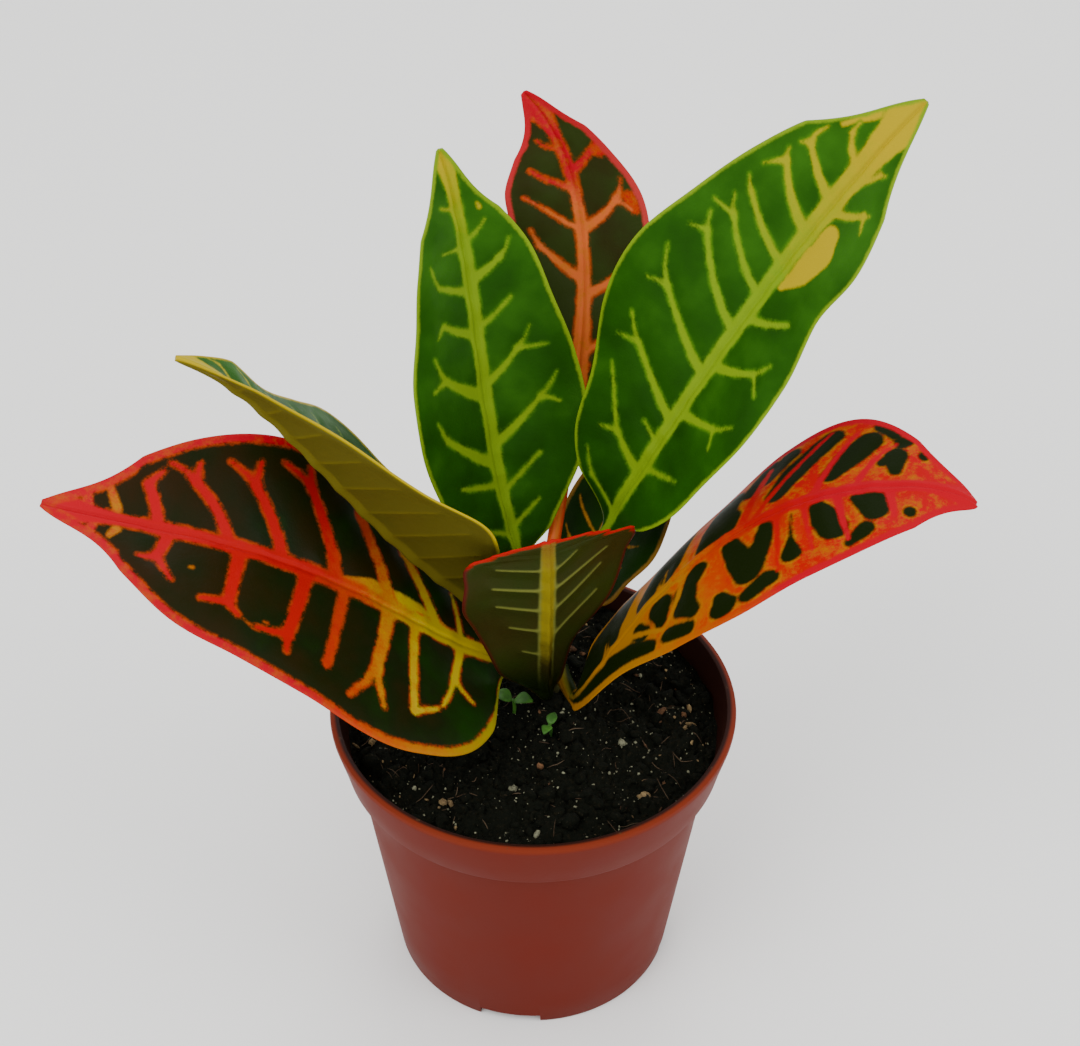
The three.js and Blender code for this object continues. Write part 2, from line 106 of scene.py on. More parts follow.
class CrotonPotSizes(bpy.types.PropertyGroup):
    """Roundness of the pot, and the colours of the pot, the soil and what grows in it."""

    segments: IntProperty(name="Segments", description="Steps round the pot", default=192, min=48)
    plastic: colour_property("Plastic", "Moulded polypropylene of the pot", "#5f1c10")
    lip: colour_property("Lip", "Where the light shows through the thin lip", "#6b2614")
    # Painted shade: the pot's inner wall above the soil takes this darker red
    inner_wall_shade: colour_property("Stain", "Peat stain on the pot's inner wall", "#27100a")
    dirt: colour_property("Dirt", "Dried splashes of soil on the pot", "#4a3520")
    peat: colour_property("Peat", "Damp peat", "#0c0e08")
    brown_peat: colour_property("Brown peat", "Drier crumbs in the peat", "#1c180d")
    dust: colour_property("Dust", "Pale flecks in the peat", "#5c5644")
    grit: colour_property("Grit", "Pale mineral grains in the peat", "#85866c")
    grit_shade: colour_property("Grit shade", "Darker side of a mineral grain", "#4c4a3a")
    bark: colour_property("Bark", "Crumbs of bark in the peat", "#6a4a30")
    bark_shade: colour_property("Bark shade", "Darker places in a bark crumb", "#2c1e14")
    fibre: colour_property("Fibre", "Bark fibres in the peat", "#5c4c3a")
    fibre_shade: colour_property("Fibre shade", "Darker places in a fibre", "#3c2a1c")
    husk: colour_property("Husk", "Straw-coloured husks near the rim", "#8a7550")
    husk_shade: colour_property("Husk shade", "Darker places in a husk", "#4a3a26")
    stem: colour_property("Stem", "Bark of the young stem", "#3c3c1a")
    stem_shade: colour_property("Stem shade", "Darker places in the stem's bark", "#2a2814")
    seedling: colour_property("Seedling", "Leaves of the two small seedlings", "#3d6a22")
    seedling_shade: colour_property("Seedling shade", "Darker places in a seedling", "#27481a")


class CrotonStage(bpy.types.PropertyGroup):
    """The floor and the lights."""

    floor: colour_property("Floor", "Pale seamless floor", "#f4f4f2")
    key_power: FloatProperty(name="Key power", description="Large soft light from the front",
                             default=6.75, unit="POWER")
    sky: FloatProperty(name="Sky", description="Strength of the white surroundings", default=1.28, min=0.0)


# Small shared tools

def smooth_step(low, high, value):
    """0 below low, 1 above high, with soft ends."""
    share = np.clip((value - low) / (high - low), 0.0, 1.0)
    return share * share * (3.0 - 2.0 * share)


def hump(distance, reach):
    """1 at no distance, and little past the reach."""
    return np.exp(-(distance / reach) ** 2)


def unit(vectors):
    """The same directions at length 1."""
    return vectors / np.linalg.norm(vectors, axis=-1, keepdims=True)


def track(values, share):
    """Smooth value at each share of a run of evenly spaced values."""
    values = np.asarray(values, float)
    last = len(values) - 1
    place = np.clip(share, 0.0, 1.0) * last
    left = np.minimum(place.astype(int), last - 1)
    part = place - left
    b, c = values[left], values[left + 1]
    a = np.where(left == 0, 2.0 * b - c, values[np.maximum(left - 1, 0)])
    d = np.where(left == last - 1, 2.0 * c - b, values[np.minimum(left + 2, last)])
    bend = 2.0 * a - 5.0 * b + 4.0 * c - d + part * (3.0 * (b - c) + d - a)
    return b + 0.5 * part * (c - a + part * bend)


def bezier(guides, share):
    """Points on the curve that the guide points pull."""
    share = np.asarray(share, float).reshape(-1, 1)
    points = [np.tile(np.array(guide, float), (len(share), 1)) for guide in guides]
    while len(points) > 1:
        points = [a * (1.0 - share) + b * share for a, b in zip(points, points[1:])]
    return points[0]


def around(steps):
    """Evenly spaced angles round a circle."""
    return 2.0 * np.pi * np.arange(steps) / steps


def tube_faces(rows, columns):
    """Quads between rows of points that each run round a tube, and a cap at each end."""
    row, step = np.meshgrid(np.arange(rows - 1), np.arange(columns), indexing="ij")
    near = row * columns + step
    beside = row * columns + (step + 1) % columns
    quads = np.stack([near, beside, beside + columns, near + columns], axis=-1)
    last = (rows - 1) * columns
    return quads.reshape(-1, 4).tolist() + [list(range(columns)), list(range(last, last + columns))]


def upright_tube(axis, radius, steps):
    """Points and faces of a closed tube whose rings lie flat round the points of an axis."""
    angle = around(steps)
    points = np.stack([axis[:, :1] + radius * np.cos(angle), axis[:, 1:2] + radius * np.sin(angle),
                       np.repeat(axis[:, 2:], steps, axis=1)], axis=-1)
    return points.reshape(-1, 3), tube_faces(len(axis), steps)


def turned(profile, steps):
    """Points and faces of a profile of radius and height, spun round the z axis."""
    radius, height = np.asarray(profile, float).T
    return upright_tube(np.stack([0.0 * height, 0.0 * height, height], axis=1), radius[:, None], steps)


def joined(parts):
    """Points and faces of many small parts as one mesh."""
    faces, base = [], 0
    for points, part_faces in parts:
        faces.extend([[corner + base for corner in face] for face in part_faces])
        base += len(points)
    return np.concatenate([points for points, _ in parts]), faces


def mesh_object(name, points, faces, material=None):
    """A new smooth object from points in mm."""
    mesh = bpy.data.meshes.new(name)
    mesh.from_pydata([tuple(p) for p in np.asarray(points) * MM], [], faces)
    mesh.update()
    mesh.polygons.foreach_set("use_smooth", [True] * len(mesh.polygons))
    thing = bpy.data.objects.new(name, mesh)
    bpy.context.scene.collection.objects.link(thing)
    if material:
        mesh.materials.append(material)
    return thing


def face_outwards(thing):
    """Turns every face of a closed mesh outwards."""
    shape = bmesh.new()
    shape.from_mesh(thing.data)
    bmesh.ops.recalc_face_normals(shape, faces=shape.faces)
    shape.to_mesh(thing.data)
    shape.free()


# Settings that many nodes share
SOFT = dict(interpolation_type="SMOOTHSTEP")
COLOURS = dict(data_type="RGBA")
SUM = dict(operation="ADD")
PRODUCT = dict(operation="MULTIPLY")
SCALED_SUM = dict(operation="MULTIPLY_ADD")


def feed(tree, node, inputs):
    """Sets a node's values and links. A node given as a value stands for its first output in use."""
    for name, value in inputs.items():
        if isinstance(value, bpy.types.Node):
            value = next(socket for socket in value.outputs if socket.enabled)
        if isinstance(value, bpy.types.NodeSocket):
            tree.links.new(value, node.inputs[name])
        else:
            node.inputs[name].default_value = value


def add(tree, kind, inputs=None, stops=(), **settings):
    """Adds a node with its settings, values and links. stops are the places and colours of a ramp.

    Numbered inputs are, on a map range, the value, the range it comes from and the range it goes to,
    and on a mix of colours, the share at 0 and the colours at 6 and 7.
    """
    node = tree.nodes.new("ShaderNode" + kind)
    for name, value in settings.items():
        setattr(node, name, value)
    feed(tree, node, inputs or {})
    for number, (place, colour) in enumerate(stops):
        steps = node.color_ramp.elements
        step = steps[number] if number < 2 else steps.new(place)
        step.position = place
        step.color = colour
    return node


def painted(tree, ground, coat, value, bare, full, **ease):
    """A coat of colour on a ground: none where the value is at bare, all of it where it is at full."""
    cover = add(tree, "MapRange", {0: value, 1: bare, 2: full}, **ease)
    return add(tree, "Mix", {0: cover, 6: ground, 7: coat}, **COLOURS)


def new_material(name):
    """An empty material, its node tree and the shader in it."""
    material = bpy.data.materials.new(name)
    material.use_nodes = True
    tree = material.node_tree
    tree.nodes.clear()
    shader = add(tree, "BsdfPrincipled")
    add(tree, "OutputMaterial", {"Surface": shader})
    return material, tree, shader


# The leaves. Places run from 0 at a leaf's foot to 1 at its tip, reaches from 0 at the midrib to 1 at the
# margin, and the two halves are 0 and 1. Sizes are in mm and turns in degrees. Values given as a run are
# evenly spaced along the blade. A wave is (its height, where it starts on each half).
# A half's side vein is (place at the midrib, place at its end, reach, half width, its twigs), a twig is
# (further place, further reach), and a patch is (half, its points as place, reach and half width).
# Colours are a pigment, or pigments at places along the leaf. Flecks are (pigment, share, layers with
# flecks), and a halo is (pigment, what it surrounds).

LEAVES = {
    "leaf_tall_right": dict(
        slot="leaf_green_bright",
        midrib=((3.5, 12, 86), (20, 14, 118), (35, 16, 150), (52, 15, 182), (71, 8, 212)),
        petiole=0.17, across=(-0.56, 0.77, 0.3), turn=0, lift=(17, 17),
        widths=((1.8, 16, 21, 27, 28, 24, 19, 12, 0.7), (1.8, 12.5, 17, 20.3, 18.8, 15.6, 16.5, 9.5, 0.7)),
        wave=(1, 0, 0.4),
        band=(1.3, 1.6, 1.7, 1.7, 1.8, 1.9, 2.3, 2.8, 5.4),
        veins=(
            ((0.05, 0.09, 0.70, 0.62, (0.04, 0.08)),
             (0.15, 0.19, 0.48, 1.1, (-0.01, 0.21), (0.10, 0.31)),
             (0.22, 0.24, 0.26, 0.5),
             (0.27, 0.35, 0.60, 1.1, (-0.01, 0.19), (0.04, 0.14)),
             (0.38, 0.47, 0.61, 1.1, (-0.01, 0.15), (0.06, 0.18)),
             (0.48, 0.59, 0.66, 1, (-0.01, 0.13), (0.03, 0.10)),
             (0.56, 0.64, 0.61, 0.88, (0.00, 0.22), (0.03, 0.14)),
             (0.63, 0.69, 0.66, 1, (0.02, 0.14)),
             (0.70, 0.77, 0.70, 1.2, (-0.03, 0.11), (0.02, 0.10)),
             (0.77, 0.82, 0.71, 1.1, (-0.01, 0.07), (0.04, 0.15)),
             (0.84, 0.88, 0.62, 0.88, (0.02, 0.15))),
            ((0.17, 0.20, 0.50, 0.75, (0.01, 0.15)),
             (0.30, 0.34, 0.54, 1.1, (0.04, 0.22), (-0.03, 0.17)),
             (0.41, 0.47, 0.56, 1.1, (0.04, 0.15), (-0.02, 0.19)),
             (0.52, 0.58, 0.62, 0.88),
             (0.76, 0.81, 0.56, 1, (0.01, 0.12), (-0.02, 0.14)),
             (0.83, 0.87, 0.46, 0.75, (0.01, 0.2)))),
        patches=((1, (0.615, 0.16, 1.6), (0.66, 0.30, 3.0), (0.71, 0.34, 3.6), (0.735, 0.30, 2.6)),
                 (1, (0.93, 0.3, 2.5), (1.0, 0.1, 2.5)), (0, (0.88, 0.86, 0.5), (0.95, 0.75, 1.0))),
        skin=dict(blade=((0, "deep_green"), (0.5, "green"), (1, "young_green")),
                  veins=((0, "lime"), (0.6, "lime"), (0.9, "yellow")),
                  patches="yellow", margin="lime", margin_width=0.55,
                  under=("dull_green", "young_green"), rib="cream",
                  halo=("spring", ("vein",))),
    ),
    "leaf_tall_left": dict(
        slot="leaf_green",
        midrib=((2.5, 12, 84), (-9, 23, 106), (-12, 34, 132), (-12, 40, 160), (-19, 40, 186)),
        petiole=0.11, across=(-0.906, -0.332, 0.261), turn=10, lift=(20, 20),
        widths=((1.8, 14.5, 19.5, 23, 22.2, 17.5, 15.2, 10, 0.7), (1.8, 12, 20, 22.5, 21, 17.5, 14, 7, 0.7)),
        wave=(0.8, 0.2, 0.7),
        band=(1.3, 1.6, 1.7, 1.8, 1.8, 1.8, 1.7, 1.5, 2.4),
        veins=(
            ((0.10, 0.13, 0.45, 0.54),
             (0.22, 0.25, 0.63, 0.78),
             (0.27, 0.37, 0.62, 1.4, (0.05, 0.11)),
             (0.43, 0.50, 0.52, 1.6, (0.06, 0.18), (-0.01, 0.21)),
             (0.57, 0.62, 0.53, 1.1, (-0.02, 0.12)),
             (0.67, 0.71, 0.56, 0.93, (0.06, 0.2)),
             (0.77, 0.78, 0.46, 0.46),
             (0.86, 0.88, 0.5, 0.39)),
            ((0.11, 0.16, 0.55, 0.62),
             (0.20, 0.27, 0.50, 0.62),
             (0.31, 0.40, 0.56, 1.1, (0.05, 0.20), (-0.02, 0.18)),
             (0.45, 0.52, 0.42, 0.93, (0.05, 0.20), (0.00, 0.32)),
             (0.58, 0.64, 0.50, 0.62),
             (0.69, 0.73, 0.49, 1.2, (0.04, 0.27)),
             (0.78, 0.82, 0.55, 0.46))),
        patches=((1, (0.85, 0.62, 0.5), (0.86, 0.66, 0.3)),),
        skin=dict(blade=((0, "deep_green"), (0.5, "green"), (1, "young_green")),
                  veins=((0, "lime"), (0.8, "lime"), (1, "yellow")),
                  patches=((0, "lime"), (1, "yellow")), margin="lime", margin_width=0.7,
                  under=("dull_green", "young_green"), rib="cream",
                  halo=("spring", ("vein",))),
    ),
    "leaf_tall_rear": dict(
        slot="leaf_red_dark",
        midrib=((3, 12.5, 94), (7, 42, 106), (13, 53, 134), (17, 68, 165), (-2, 66, 186)),
        petiole=0.3, across=(-1, 0, 0), turn=0, lift=(14, 14),
        widths=((1.8, 9, 14, 16.5, 16.5, 15.8, 14.7, 8, 0.7), (1.8, 9, 13, 14.5, 15.3, 14.4, 10, 5.8, 0.7)),
        wave=(0.8, 0.5, 0),
        band=(2.0, 2.3, 1.9, 1.5, 1.3, 1.2, 1.2, 1.5, 4),
        veins=(
            ((0.20, 0.28, 0.65, 0.7),
             (0.42, 0.53, 0.60, 1.0, (0.06, 0.12)),
             (0.56, 0.70, 0.74, 0.5),
             (0.68, 0.78, 0.62, 0.7),
             (0.80, 0.86, 0.5, 0.3)),
            ((0.22, 0.30, 0.6, 0.6),
             (0.38, 0.45, 0.66, 1.0, (0.02, 0.15)),
             (0.56, 0.63, 0.60, 1.1, (0.05, 0.22), (-0.03, 0.2)),
             (0.73, 0.77, 0.62, 1.1, (0.01, 0.3)))),
        patches=((1, (0.63, 0.8, 1.2), (0.60, 0.86, 0.8)), (1, (0.77, 0.85, 1.6), (0.78, 0.95, 1.6)),
                 (0, (0.93, 0.3, 1.6), (1, 0, 3))),
        skin=dict(blade=((0, "dull_green"), (0.5, "dull_green"), (1, "bronze")),
                  flecks=("gold", 0.5, ("veins", "patches")),
                  veins=((0, "coral"), (0.5, "coral"), (0.62, "coral"), (0.72, "crimson")),
                  patches=((0, "orange"), (0.7, "scarlet"), (1, "crimson")),
                  margin=((0, "orange"), (0.4, "rose"), (1, "crimson")), margin_width=1.2,
                  halo=("orange", ("vein", "patch")),
                  under=("wine", "olive"), rib="tan"),
    ),
    "leaf_folded_left": dict(
        slot="leaf_olive",
        midrib=((2.5, 11.5, 80), (-18, 5, 99), (-38.5, 2, 120), (-46, -4, 155), (-67, -9, 168)),
        petiole=0.14, across=(0.436, -0.895, 0.094), turn=8, lift=(25, 25),
        widths=((1.8, 15, 25, 29.5, 22.8, 15.5, 8.6, 5, 0.7), (1.8, 9.5, 17, 19.6, 24, 16.5, 9.1, 8.6, 0.7)),
        droop=((0, 0), (0, -0.15, -0.2, -0.15, 0, 0, 0, 0, 0)),
        wave=(0.6, 0.5, 0),
        band=(1.2, 1.4, 1.5, 1.5, 1.4, 1.3, 1.2, 1.6, 4),
        veins=(
            tuple((0.08 + 0.085 * n, 0.09 + 0.085 * n, 0.8, 0.35) for n in range(10)),
            tuple((0.08 + 0.085 * n, 0.12 + 0.085 * n, 0.7, 0.5, (0.03, 0.15)) for n in range(10))),
        patches=((0, (0.96, 0, 2), (1, 0, 3)),),
        skin=dict(blade=((0, "deep_green"), (0.6, "green"), (1, "young_green")),
                  veins=((0, "gold"), (0.5, "lime"), (1, "yellow")),
                  patches="yellow", margin="yellow", margin_width=0.45,
                  under=("olive", "olive"), rib="khaki"),
    ),
    "leaf_low_left": dict(
        slot="leaf_red_crimson",
        midrib=((2.5, 11, 73), (-20, -6, 84), (-36, -1, 119), (-70, -11, 125), (-98, -8, 133)),
        petiole=0.075, across=(0.09, -0.95, -0.17), turn=-18, lift=(13, 12),
        widths=((3, 24.5, 31.5, 33, 30, 25.2, 20.4, 8.8, 0.7), (3, 13, 18, 22, 26, 25, 20.3, 11.5, 0.7)),
        droop=((0, 0), (0, 0.3, 0.38, 0.35, 0.18, 0, 0, 0, 0)),
        wave=(0.8, 0.1, 0.6),
        band=(1.4, 1.9, 1.8, 1.7, 1.7, 1.6, 1.5, 1.5, 4), taper=(0.25, 0.6, 0.3),
        veins=(
            ((0.15, 0.17, 0.34, 1.1, (-0.04, 0.22), (0.03, 0.26)),
             (0.27, 0.262, 0.70, 1.1, (-0.05, -0.06)),
             (0.33, 0.350, 0.50, 1.6, (0.055, 0.30), (-0.02, 0.26)),
             (0.43, 0.455, 0.68, 1.1),
             (0.51, 0.535, 0.60, 1.5, (0.06, 0.08), (0.00, 0.15)),
             (0.64, 0.650, 0.55, 1.4, (0.05, 0.08), (-0.02, 0.1)),
             (0.77, 0.785, 0.38, 1.2, (0.03, 0.14), (-0.03, 0.2))),
            ((0.15, 0.19, 0.62, 0.6),
             (0.21, 0.32, 0.66, 1.2, (0.04, 0.15), (-0.02, 0.17)),
             (0.33, 0.43, 0.70, 1.3, (0.02, 0.14)),
             (0.45, 0.54, 0.68, 1.3, (0.06, 0.12), (0.01, 0.15)),
             (0.56, 0.64, 0.56, 1.2, (0.05, 0.18), (0.00, 0.20)),
             (0.66, 0.74, 0.54, 1.1, (0.05, 0.25), (0.00, 0.20)),
             (0.79, 0.82, 0.56, 1.2, (-0.02, 0.14)))),
        patches=((1, (0.46, 0.02, 0.7), (0.38, 0.08, 2.5), (0.27, 0.07, 2.8), (0.18, 0.02, 1.6)),
                 (0, (0.262, 0.70, 0.3), (0.225, 0.67, 0.35), (0.20, 0.60, 0.2)),
                 (0, (0.575, 0.60, 0.35), (0.582, 0.60, 0.3)),
                 (0, (0.72, 0.35, 0.35), (0.726, 0.36, 0.3)),
                 (0, (0.60, 0.70, 0.3), (0.62, 0.66, 0.2)),
                 (0, (0.86, 0.25, 1.0), (0.87, 0.5, 0.6)), (0, (0.90, 0.2, 1.0), (0.905, 0.8, 1.0)),
                 (1, (0.865, 0.2, 1.0), (0.885, 0.7, 0.8)), (1, (0.915, 0.2, 1.0), (0.925, 0.8, 1.0)),
                 (0, (0.93, 0, 2.5), (1.0, 0, 3))),
        skin=dict(blade=((0, "deep_green"), (0.4, "black_green"), (0.9, "bronze")),
                  halo=("orange", ("vein", "margin")),
                  flecks=("gold", 0.35, ("patches", "margin")),
                  veins=((0, "yellow"), (0.24, "yellow"), (0.40, "orange"), (0.50, "scarlet"),
                         (1, "crimson")),
                  patches=((0.15, "yellow"), (0.3, "yellow"), (0.5, "scarlet"), (0.84, "gold"),
                           (0.92, "crimson")),
                  margin=((0, "lime"), (0.2, "gold"), (0.36, "orange"), (0.5, "crimson")), margin_width=1.6,
                  under=("wine", "olive"), rib="tan"),
    ),
    "leaf_low_right": dict(
        slot="leaf_red_orange",
        midrib=((6.5, 11, 73), (10, -33, 67.5), (16.5, 19, 129), (77, -7, 142), (89, -6, 131)),
        petiole=0.08, across=(0.1, 0.99, 0.02), turn=5, lift=(0, 0),
        widths=((2, 12.5, 15.5, 13.8, 15.1, 19.8, 20.7, 10.8, 0.7),
                (2, 4.5, 8.5, 18.3, 23.6, 21, 16.5, 9.5, 0.7)),
        droop=((0, 0.05, 0.15, 0.3, 0.25, 0.1, 0, 0, 0), (0, 0)),
        wave=(0.6, 0.3, 0),
        band=(0.6, 0.7, 1.1, 1.4, 1.5, 1.6, 1.7, 1.8, 4),
        veins=(
            ((0.215, 0.225, 0.32, 0.8), (0.305, 0.345, 0.75, 1.1), (0.385, 0.40, 0.4, 0.4),
             (0.43, 0.48, 0.85, 1.1), (0.54, 0.60, 0.8, 1.2), (0.56, 0.70, 0.88, 0.7),
             (0.66, 0.74, 0.8, 0.9), (0.73, 0.80, 0.7, 0.8)),
            ((0.27, 0.365, 0.6, 0.9), (0.43, 0.375, 0.55, 0.9), (0.485, 0.50, 0.62, 1.3),
             (0.60, 0.585, 0.75, 0.8), (0.645, 0.65, 0.7, 0.8), (0.70, 0.715, 0.75, 1.0),
             (0.79, 0.80, 0.6, 1.3))),
        patches=(
            (0, (0.03, 0.6, 2.0), (0.12, 0.52, 5.6), (0.18, 0.58, 7.0)),
            (0, (0.20, 0.78, 3.4), (0.27, 0.80, 3.4)),
            (0, (0.255, 0.22, 1.5), (0.275, 0.50, 2.6), (0.30, 0.78, 2.4)),
            (0, (0.34, 0.2, 1.4), (0.355, 0.22, 1.6)),
            (0, (0.35, 0.24, 1.5), (0.375, 0.45, 1.8), (0.395, 0.8, 1.4)),
            (0, (0.40, 0.22, 1.1), (0.415, 0.40, 1.6), (0.44, 0.85, 1.6)),
            (0, (0.475, 0.13, 1.3), (0.50, 0.35, 2.5), (0.53, 0.75, 2.2)),
            (0, (0.51, 0.15, 1.8), (0.525, 0.35, 1.8)),
            (0, (0.565, 0.62, 1.1), (0.60, 0.85, 1.3)),
            (0, (0.595, 0.62, 0.5), (0.635, 0.84, 1.2)),
            (0, (0.605, 0.28, 1.5), (0.64, 0.52, 2.1), (0.70, 0.80, 1.5)),
            (0, (0.694, 0.27, 1.5), (0.725, 0.46, 2.3), (0.756, 0.66, 2.0)),
            (0, (0.80, 0.50, 1.7), (0.798, 0.26, 0.9)),
            (0, (0.80, 0.48, 1.4), (0.778, 0.36, 0.6)),
            (0, (0.776, 0.90, 0.8), (0.796, 0.85, 0.9)),
            (0, (0.808, 0.74, 0.8), (0.82, 0.84, 0.7)),
            (0, (0.849, 0.72, 0.6), (0.851, 0.76, 0.6)),
            (1, (0.02, 0.2, 1.0), (0.13, 0.18, 1.3), (0.20, 0.35, 1.9)),
            (1, (0.21, 0.40, 2.1), (0.28, 0.62, 1.9), (0.33, 0.78, 1.2)),
            (1, (0.315, 0.28, 1.2), (0.325, 0.42, 1.2)),
            (1, (0.372, 0.23, 2.3), (0.366, 0.45, 0.9)),
            (1, (0.455, 0.14, 1.4), (0.425, 0.27, 2.2), (0.416, 0.48, 2.2), (0.428, 0.64, 1.0)),
            (1, (0.37, 0.74, 1.1), (0.41, 0.84, 1.0)),
            (1, (0.479, 0.68, 0.9), (0.480, 0.80, 2.4)),
            (1, (0.518, 0.12, 1.3), (0.525, 0.35, 2.1), (0.535, 0.58, 2.2)),
            (1, (0.582, 0.12, 1.0), (0.570, 0.30, 1.3), (0.545, 0.52, 2.1)),
            (1, (0.624, 0.12, -0.5), (0.617, 0.42, -0.2), (0.613, 0.63, 1.6)),
            (1, (0.666, 0.14, 1.1), (0.68, 0.35, 2.5), (0.69, 0.52, 2.5)),
            (1, (0.738, 0.16, 1.2), (0.762, 0.44, 1.9)),
            (1, (0.771, 0.19, 1.7), (0.773, 0.42, 1.4)),
            (1, (0.747, 0.70, 1.3), (0.717, 0.81, 0.5)),
            (1, (0.827, 0.60, 0.7), (0.830, 0.62, 0.7)),
            (1, (0.568, 0.78, 1.5), (0.525, 0.84, 1.1))),
        skin=dict(blade=((0, "black_green"), (0.2, "black_green"), (0.26, "gold"), (0.31, "gold"),
                         (0.45, "orange"), (0.62, "scarlet"), (1, "crimson")), cloudy=0.12,
                  flecks=("gold", 0.65, ("blade",)), patch_growth=0.7, sheen=0.02,
                  halo=("gold", ("patch",)),
                  veins=((0, "olive"), (0.2, "gold"), (0.40, "gold"), (0.48, "orange"),
                         (0.56, "scarlet"), (0.70, "crimson")),
                  patches="black_green",
                  margin=((0, "black_green"), (0.04, "gold"), (0.3, "gold"), (0.5, "orange"),
                          (0.6, "crimson")),
                  margin_width=1.5, under=("wine", "olive"), rib="tan"),
    ),
    "leaf_short_front": dict(
        slot="leaf_underside",
        midrib=((3, 11, 70), (2, -1, 64), (3, -2, 88), (3, -9, 114), (3, -14, 128)),
        petiole=0.18, across=(0.82, 0.585, 0.06), turn=-10, lift=(0, 20),
        widths=((1.8, 3.4, 4.6, 7, 11.5, 15.5, 18, 18.5, 0.8), (1.8, 5, 9.5, 12, 15, 17.5, 17, 15.5, 0.8)),
        wave=(0.8, 0.3, 0),
        band=(1.0, 1.2, 1.5, 1.6, 1.7, 1.7, 1.6, 1.4, 1.2), ragged=(1.2, 0.4), pinch=0.0,
        veins=(
            ((0.45, 0.63, 0.70, 0.22), (0.59, 0.75, 0.66, 0.24), (0.70, 0.83, 0.66, 0.30),
             (0.80, 0.88, 0.32, 0.24)),
            ((0.37, 0.40, 0.40, 0.16), (0.50, 0.53, 0.50, 0.24), (0.605, 0.65, 0.60, 0.28),
             (0.71, 0.745, 0.66, 0.34), (0.82, 0.845, 0.62, 0.2))),
        patches=((0, (0.78, 0.98, 0.8), (0.86, 0.97, 0.5), (0.90, 0.92, 0.7)),),
        skin=dict(blade=((0, "black_green"), (0.5, "deep_green"), (1, "bronze")),
                  veins=((0, "gold"), (1, "orange")), patches="orange",
                  margin=((0, "black_green"), (0.6, "wine"), (0.84, "wine"), (0.88, "scarlet")),
                  margin_width=0.6, under=("dull_green", "moss"), rib="cream",
                  keel=((0.1, "black_green"), (0.3, "moss"), (0.5, "keel"), (0.8, "keel"), (1, "tan"))),
    ),
    "leaf_rear_right": dict(
        slot="leaf_green_dark",
        midrib=((3, 11.5, 77), (8, 22, 82), (17, 31, 98), (27, 36, 116), (38, 40, 134)),
        petiole=0.16, across=(-0.45, 0.85, -0.1), turn=0, lift=(10, 10),
        widths=((1.8, 8, 13, 14, 14, 12.5, 9, 5.5, 0.7), (1.8, 14.5, 19, 21.8, 21.2, 20, 13.5, 6.5, 0.7)),
        wave=(0.8, 0.3, 0.6),
        band=(1.2, 1.4, 1.5, 1.5, 1.4, 1.3, 1.2, 1.4, 4),
        veins=(
            tuple((0.10 + 0.11 * n, 0.16 + 0.11 * n, 0.65, 0.4, (0.03, 0.15)) for n in range(7)),
            tuple((0.10 + 0.11 * n, 0.16 + 0.11 * n, 0.55, 0.4, (0.03, 0.15)) for n in range(7))),
        patches=(),
        skin=dict(blade=((0, "black_green"), (1, "deep_green")), veins="gold",
                  patches="gold", margin="tan", margin_width=1.0,
                  under=("dull_green", "olive"), rib="gold", sheen=0.02),
    ),
}


# How a leaf is formed, in mm apart from the count of its waves
QUILT_REACH = 2.4
RIB_HEIGHT, RIB_REACH = 0.28, 0.55
SHOULDER_HEIGHT, SHOULDER_REACH = 0.3, 1.4
GROOVE_DEPTH, GROOVE_REACH = 0.35, 0.45
KEEL_REACH, KEEL_TIP, KEEL_GROWTH = 1.6, 0.15, 1.45
MARGIN_THINNING = 1.6
LEAST_HALF_WIDTH = 0.5
STALK_MIDDLE, STALK_TOP, STALK_BOTTOM = 1.25, 0.95, 1.15
VEIN_BLEND = 0.3
FAR_OFF = 30.0
WAVE_COUNT = 2.5

# How a leaf is formed, as shares of its length
STALK_ROWS = 16
STALK_END = 0.09
STALK_FOOT = 0.02
TIP_START = 0.84


def midrib_frame(leaf, places):
    """Points, across and up directions along the stalk and midrib."""
    point = bezier(leaf["midrib"], places)
    along = unit(bezier(leaf["midrib"], np.minimum(places + 0.001, 1.0))
                 - bezier(leaf["midrib"], np.maximum(places - 0.001, 0.0)))
    across = np.tile(np.array(leaf["across"], float), (len(places), 1))
    across = unit(across - np.sum(across * along, axis=1, keepdims=True) * along)
    up = np.cross(along, across)
    turn = math.radians(leaf["turn"])
    return point, across * math.cos(turn) + up * math.sin(turn), up * math.cos(turn) - across * math.sin(turn)


def half_width(leaf, half, blade):
    """Distance from the midrib to the margin, which narrows to a point or is ragged at the tip."""
    tip = np.sin(np.pi * np.maximum((blade - TIP_START) / (1.0 - TIP_START), 0.0))
    frill = np.sin(88.0 * blade) + 0.7 * np.sin(171.0 * blade + 1.0) + 0.4 * np.sin(390.0 * blade)
    ragged = leaf.get("ragged", (0.0, 0.0))[half] * frill * tip
    smooth = track(leaf["widths"][half], blade) * (1.0 - leaf.get("pinch", 0.2) * tip)
    return np.maximum(smooth + ragged, LEAST_HALF_WIDTH)


def flat_points(leaf, length, half, places, reaches):
    """Places and reaches as points on the leaf laid flat."""
    places = np.asarray(places, float)
    side = 1.0 if half == 0 else -1.0
    across = side * np.asarray(reaches, float) * half_width(leaf, half, places)
    return np.stack([places * length, across], axis=1)


def stroke_gap(flat, line, widths):
    """Distance from each flat point to the edge of a tapering line, negative inside it."""
    nearest = np.full(flat.shape[:-1], 1e3)
    for start, end, wide, narrow in zip(line, line[1:], widths, widths[1:]):
        run = end - start
        share = np.clip(((flat - start) @ run) / max(run @ run, 1e-9), 0.0, 1.0)
        gap = np.linalg.norm(flat - start - share[..., None] * run, axis=-1)
        nearest = np.minimum(nearest, gap - wide - (narrow - wide) * share)
    return nearest


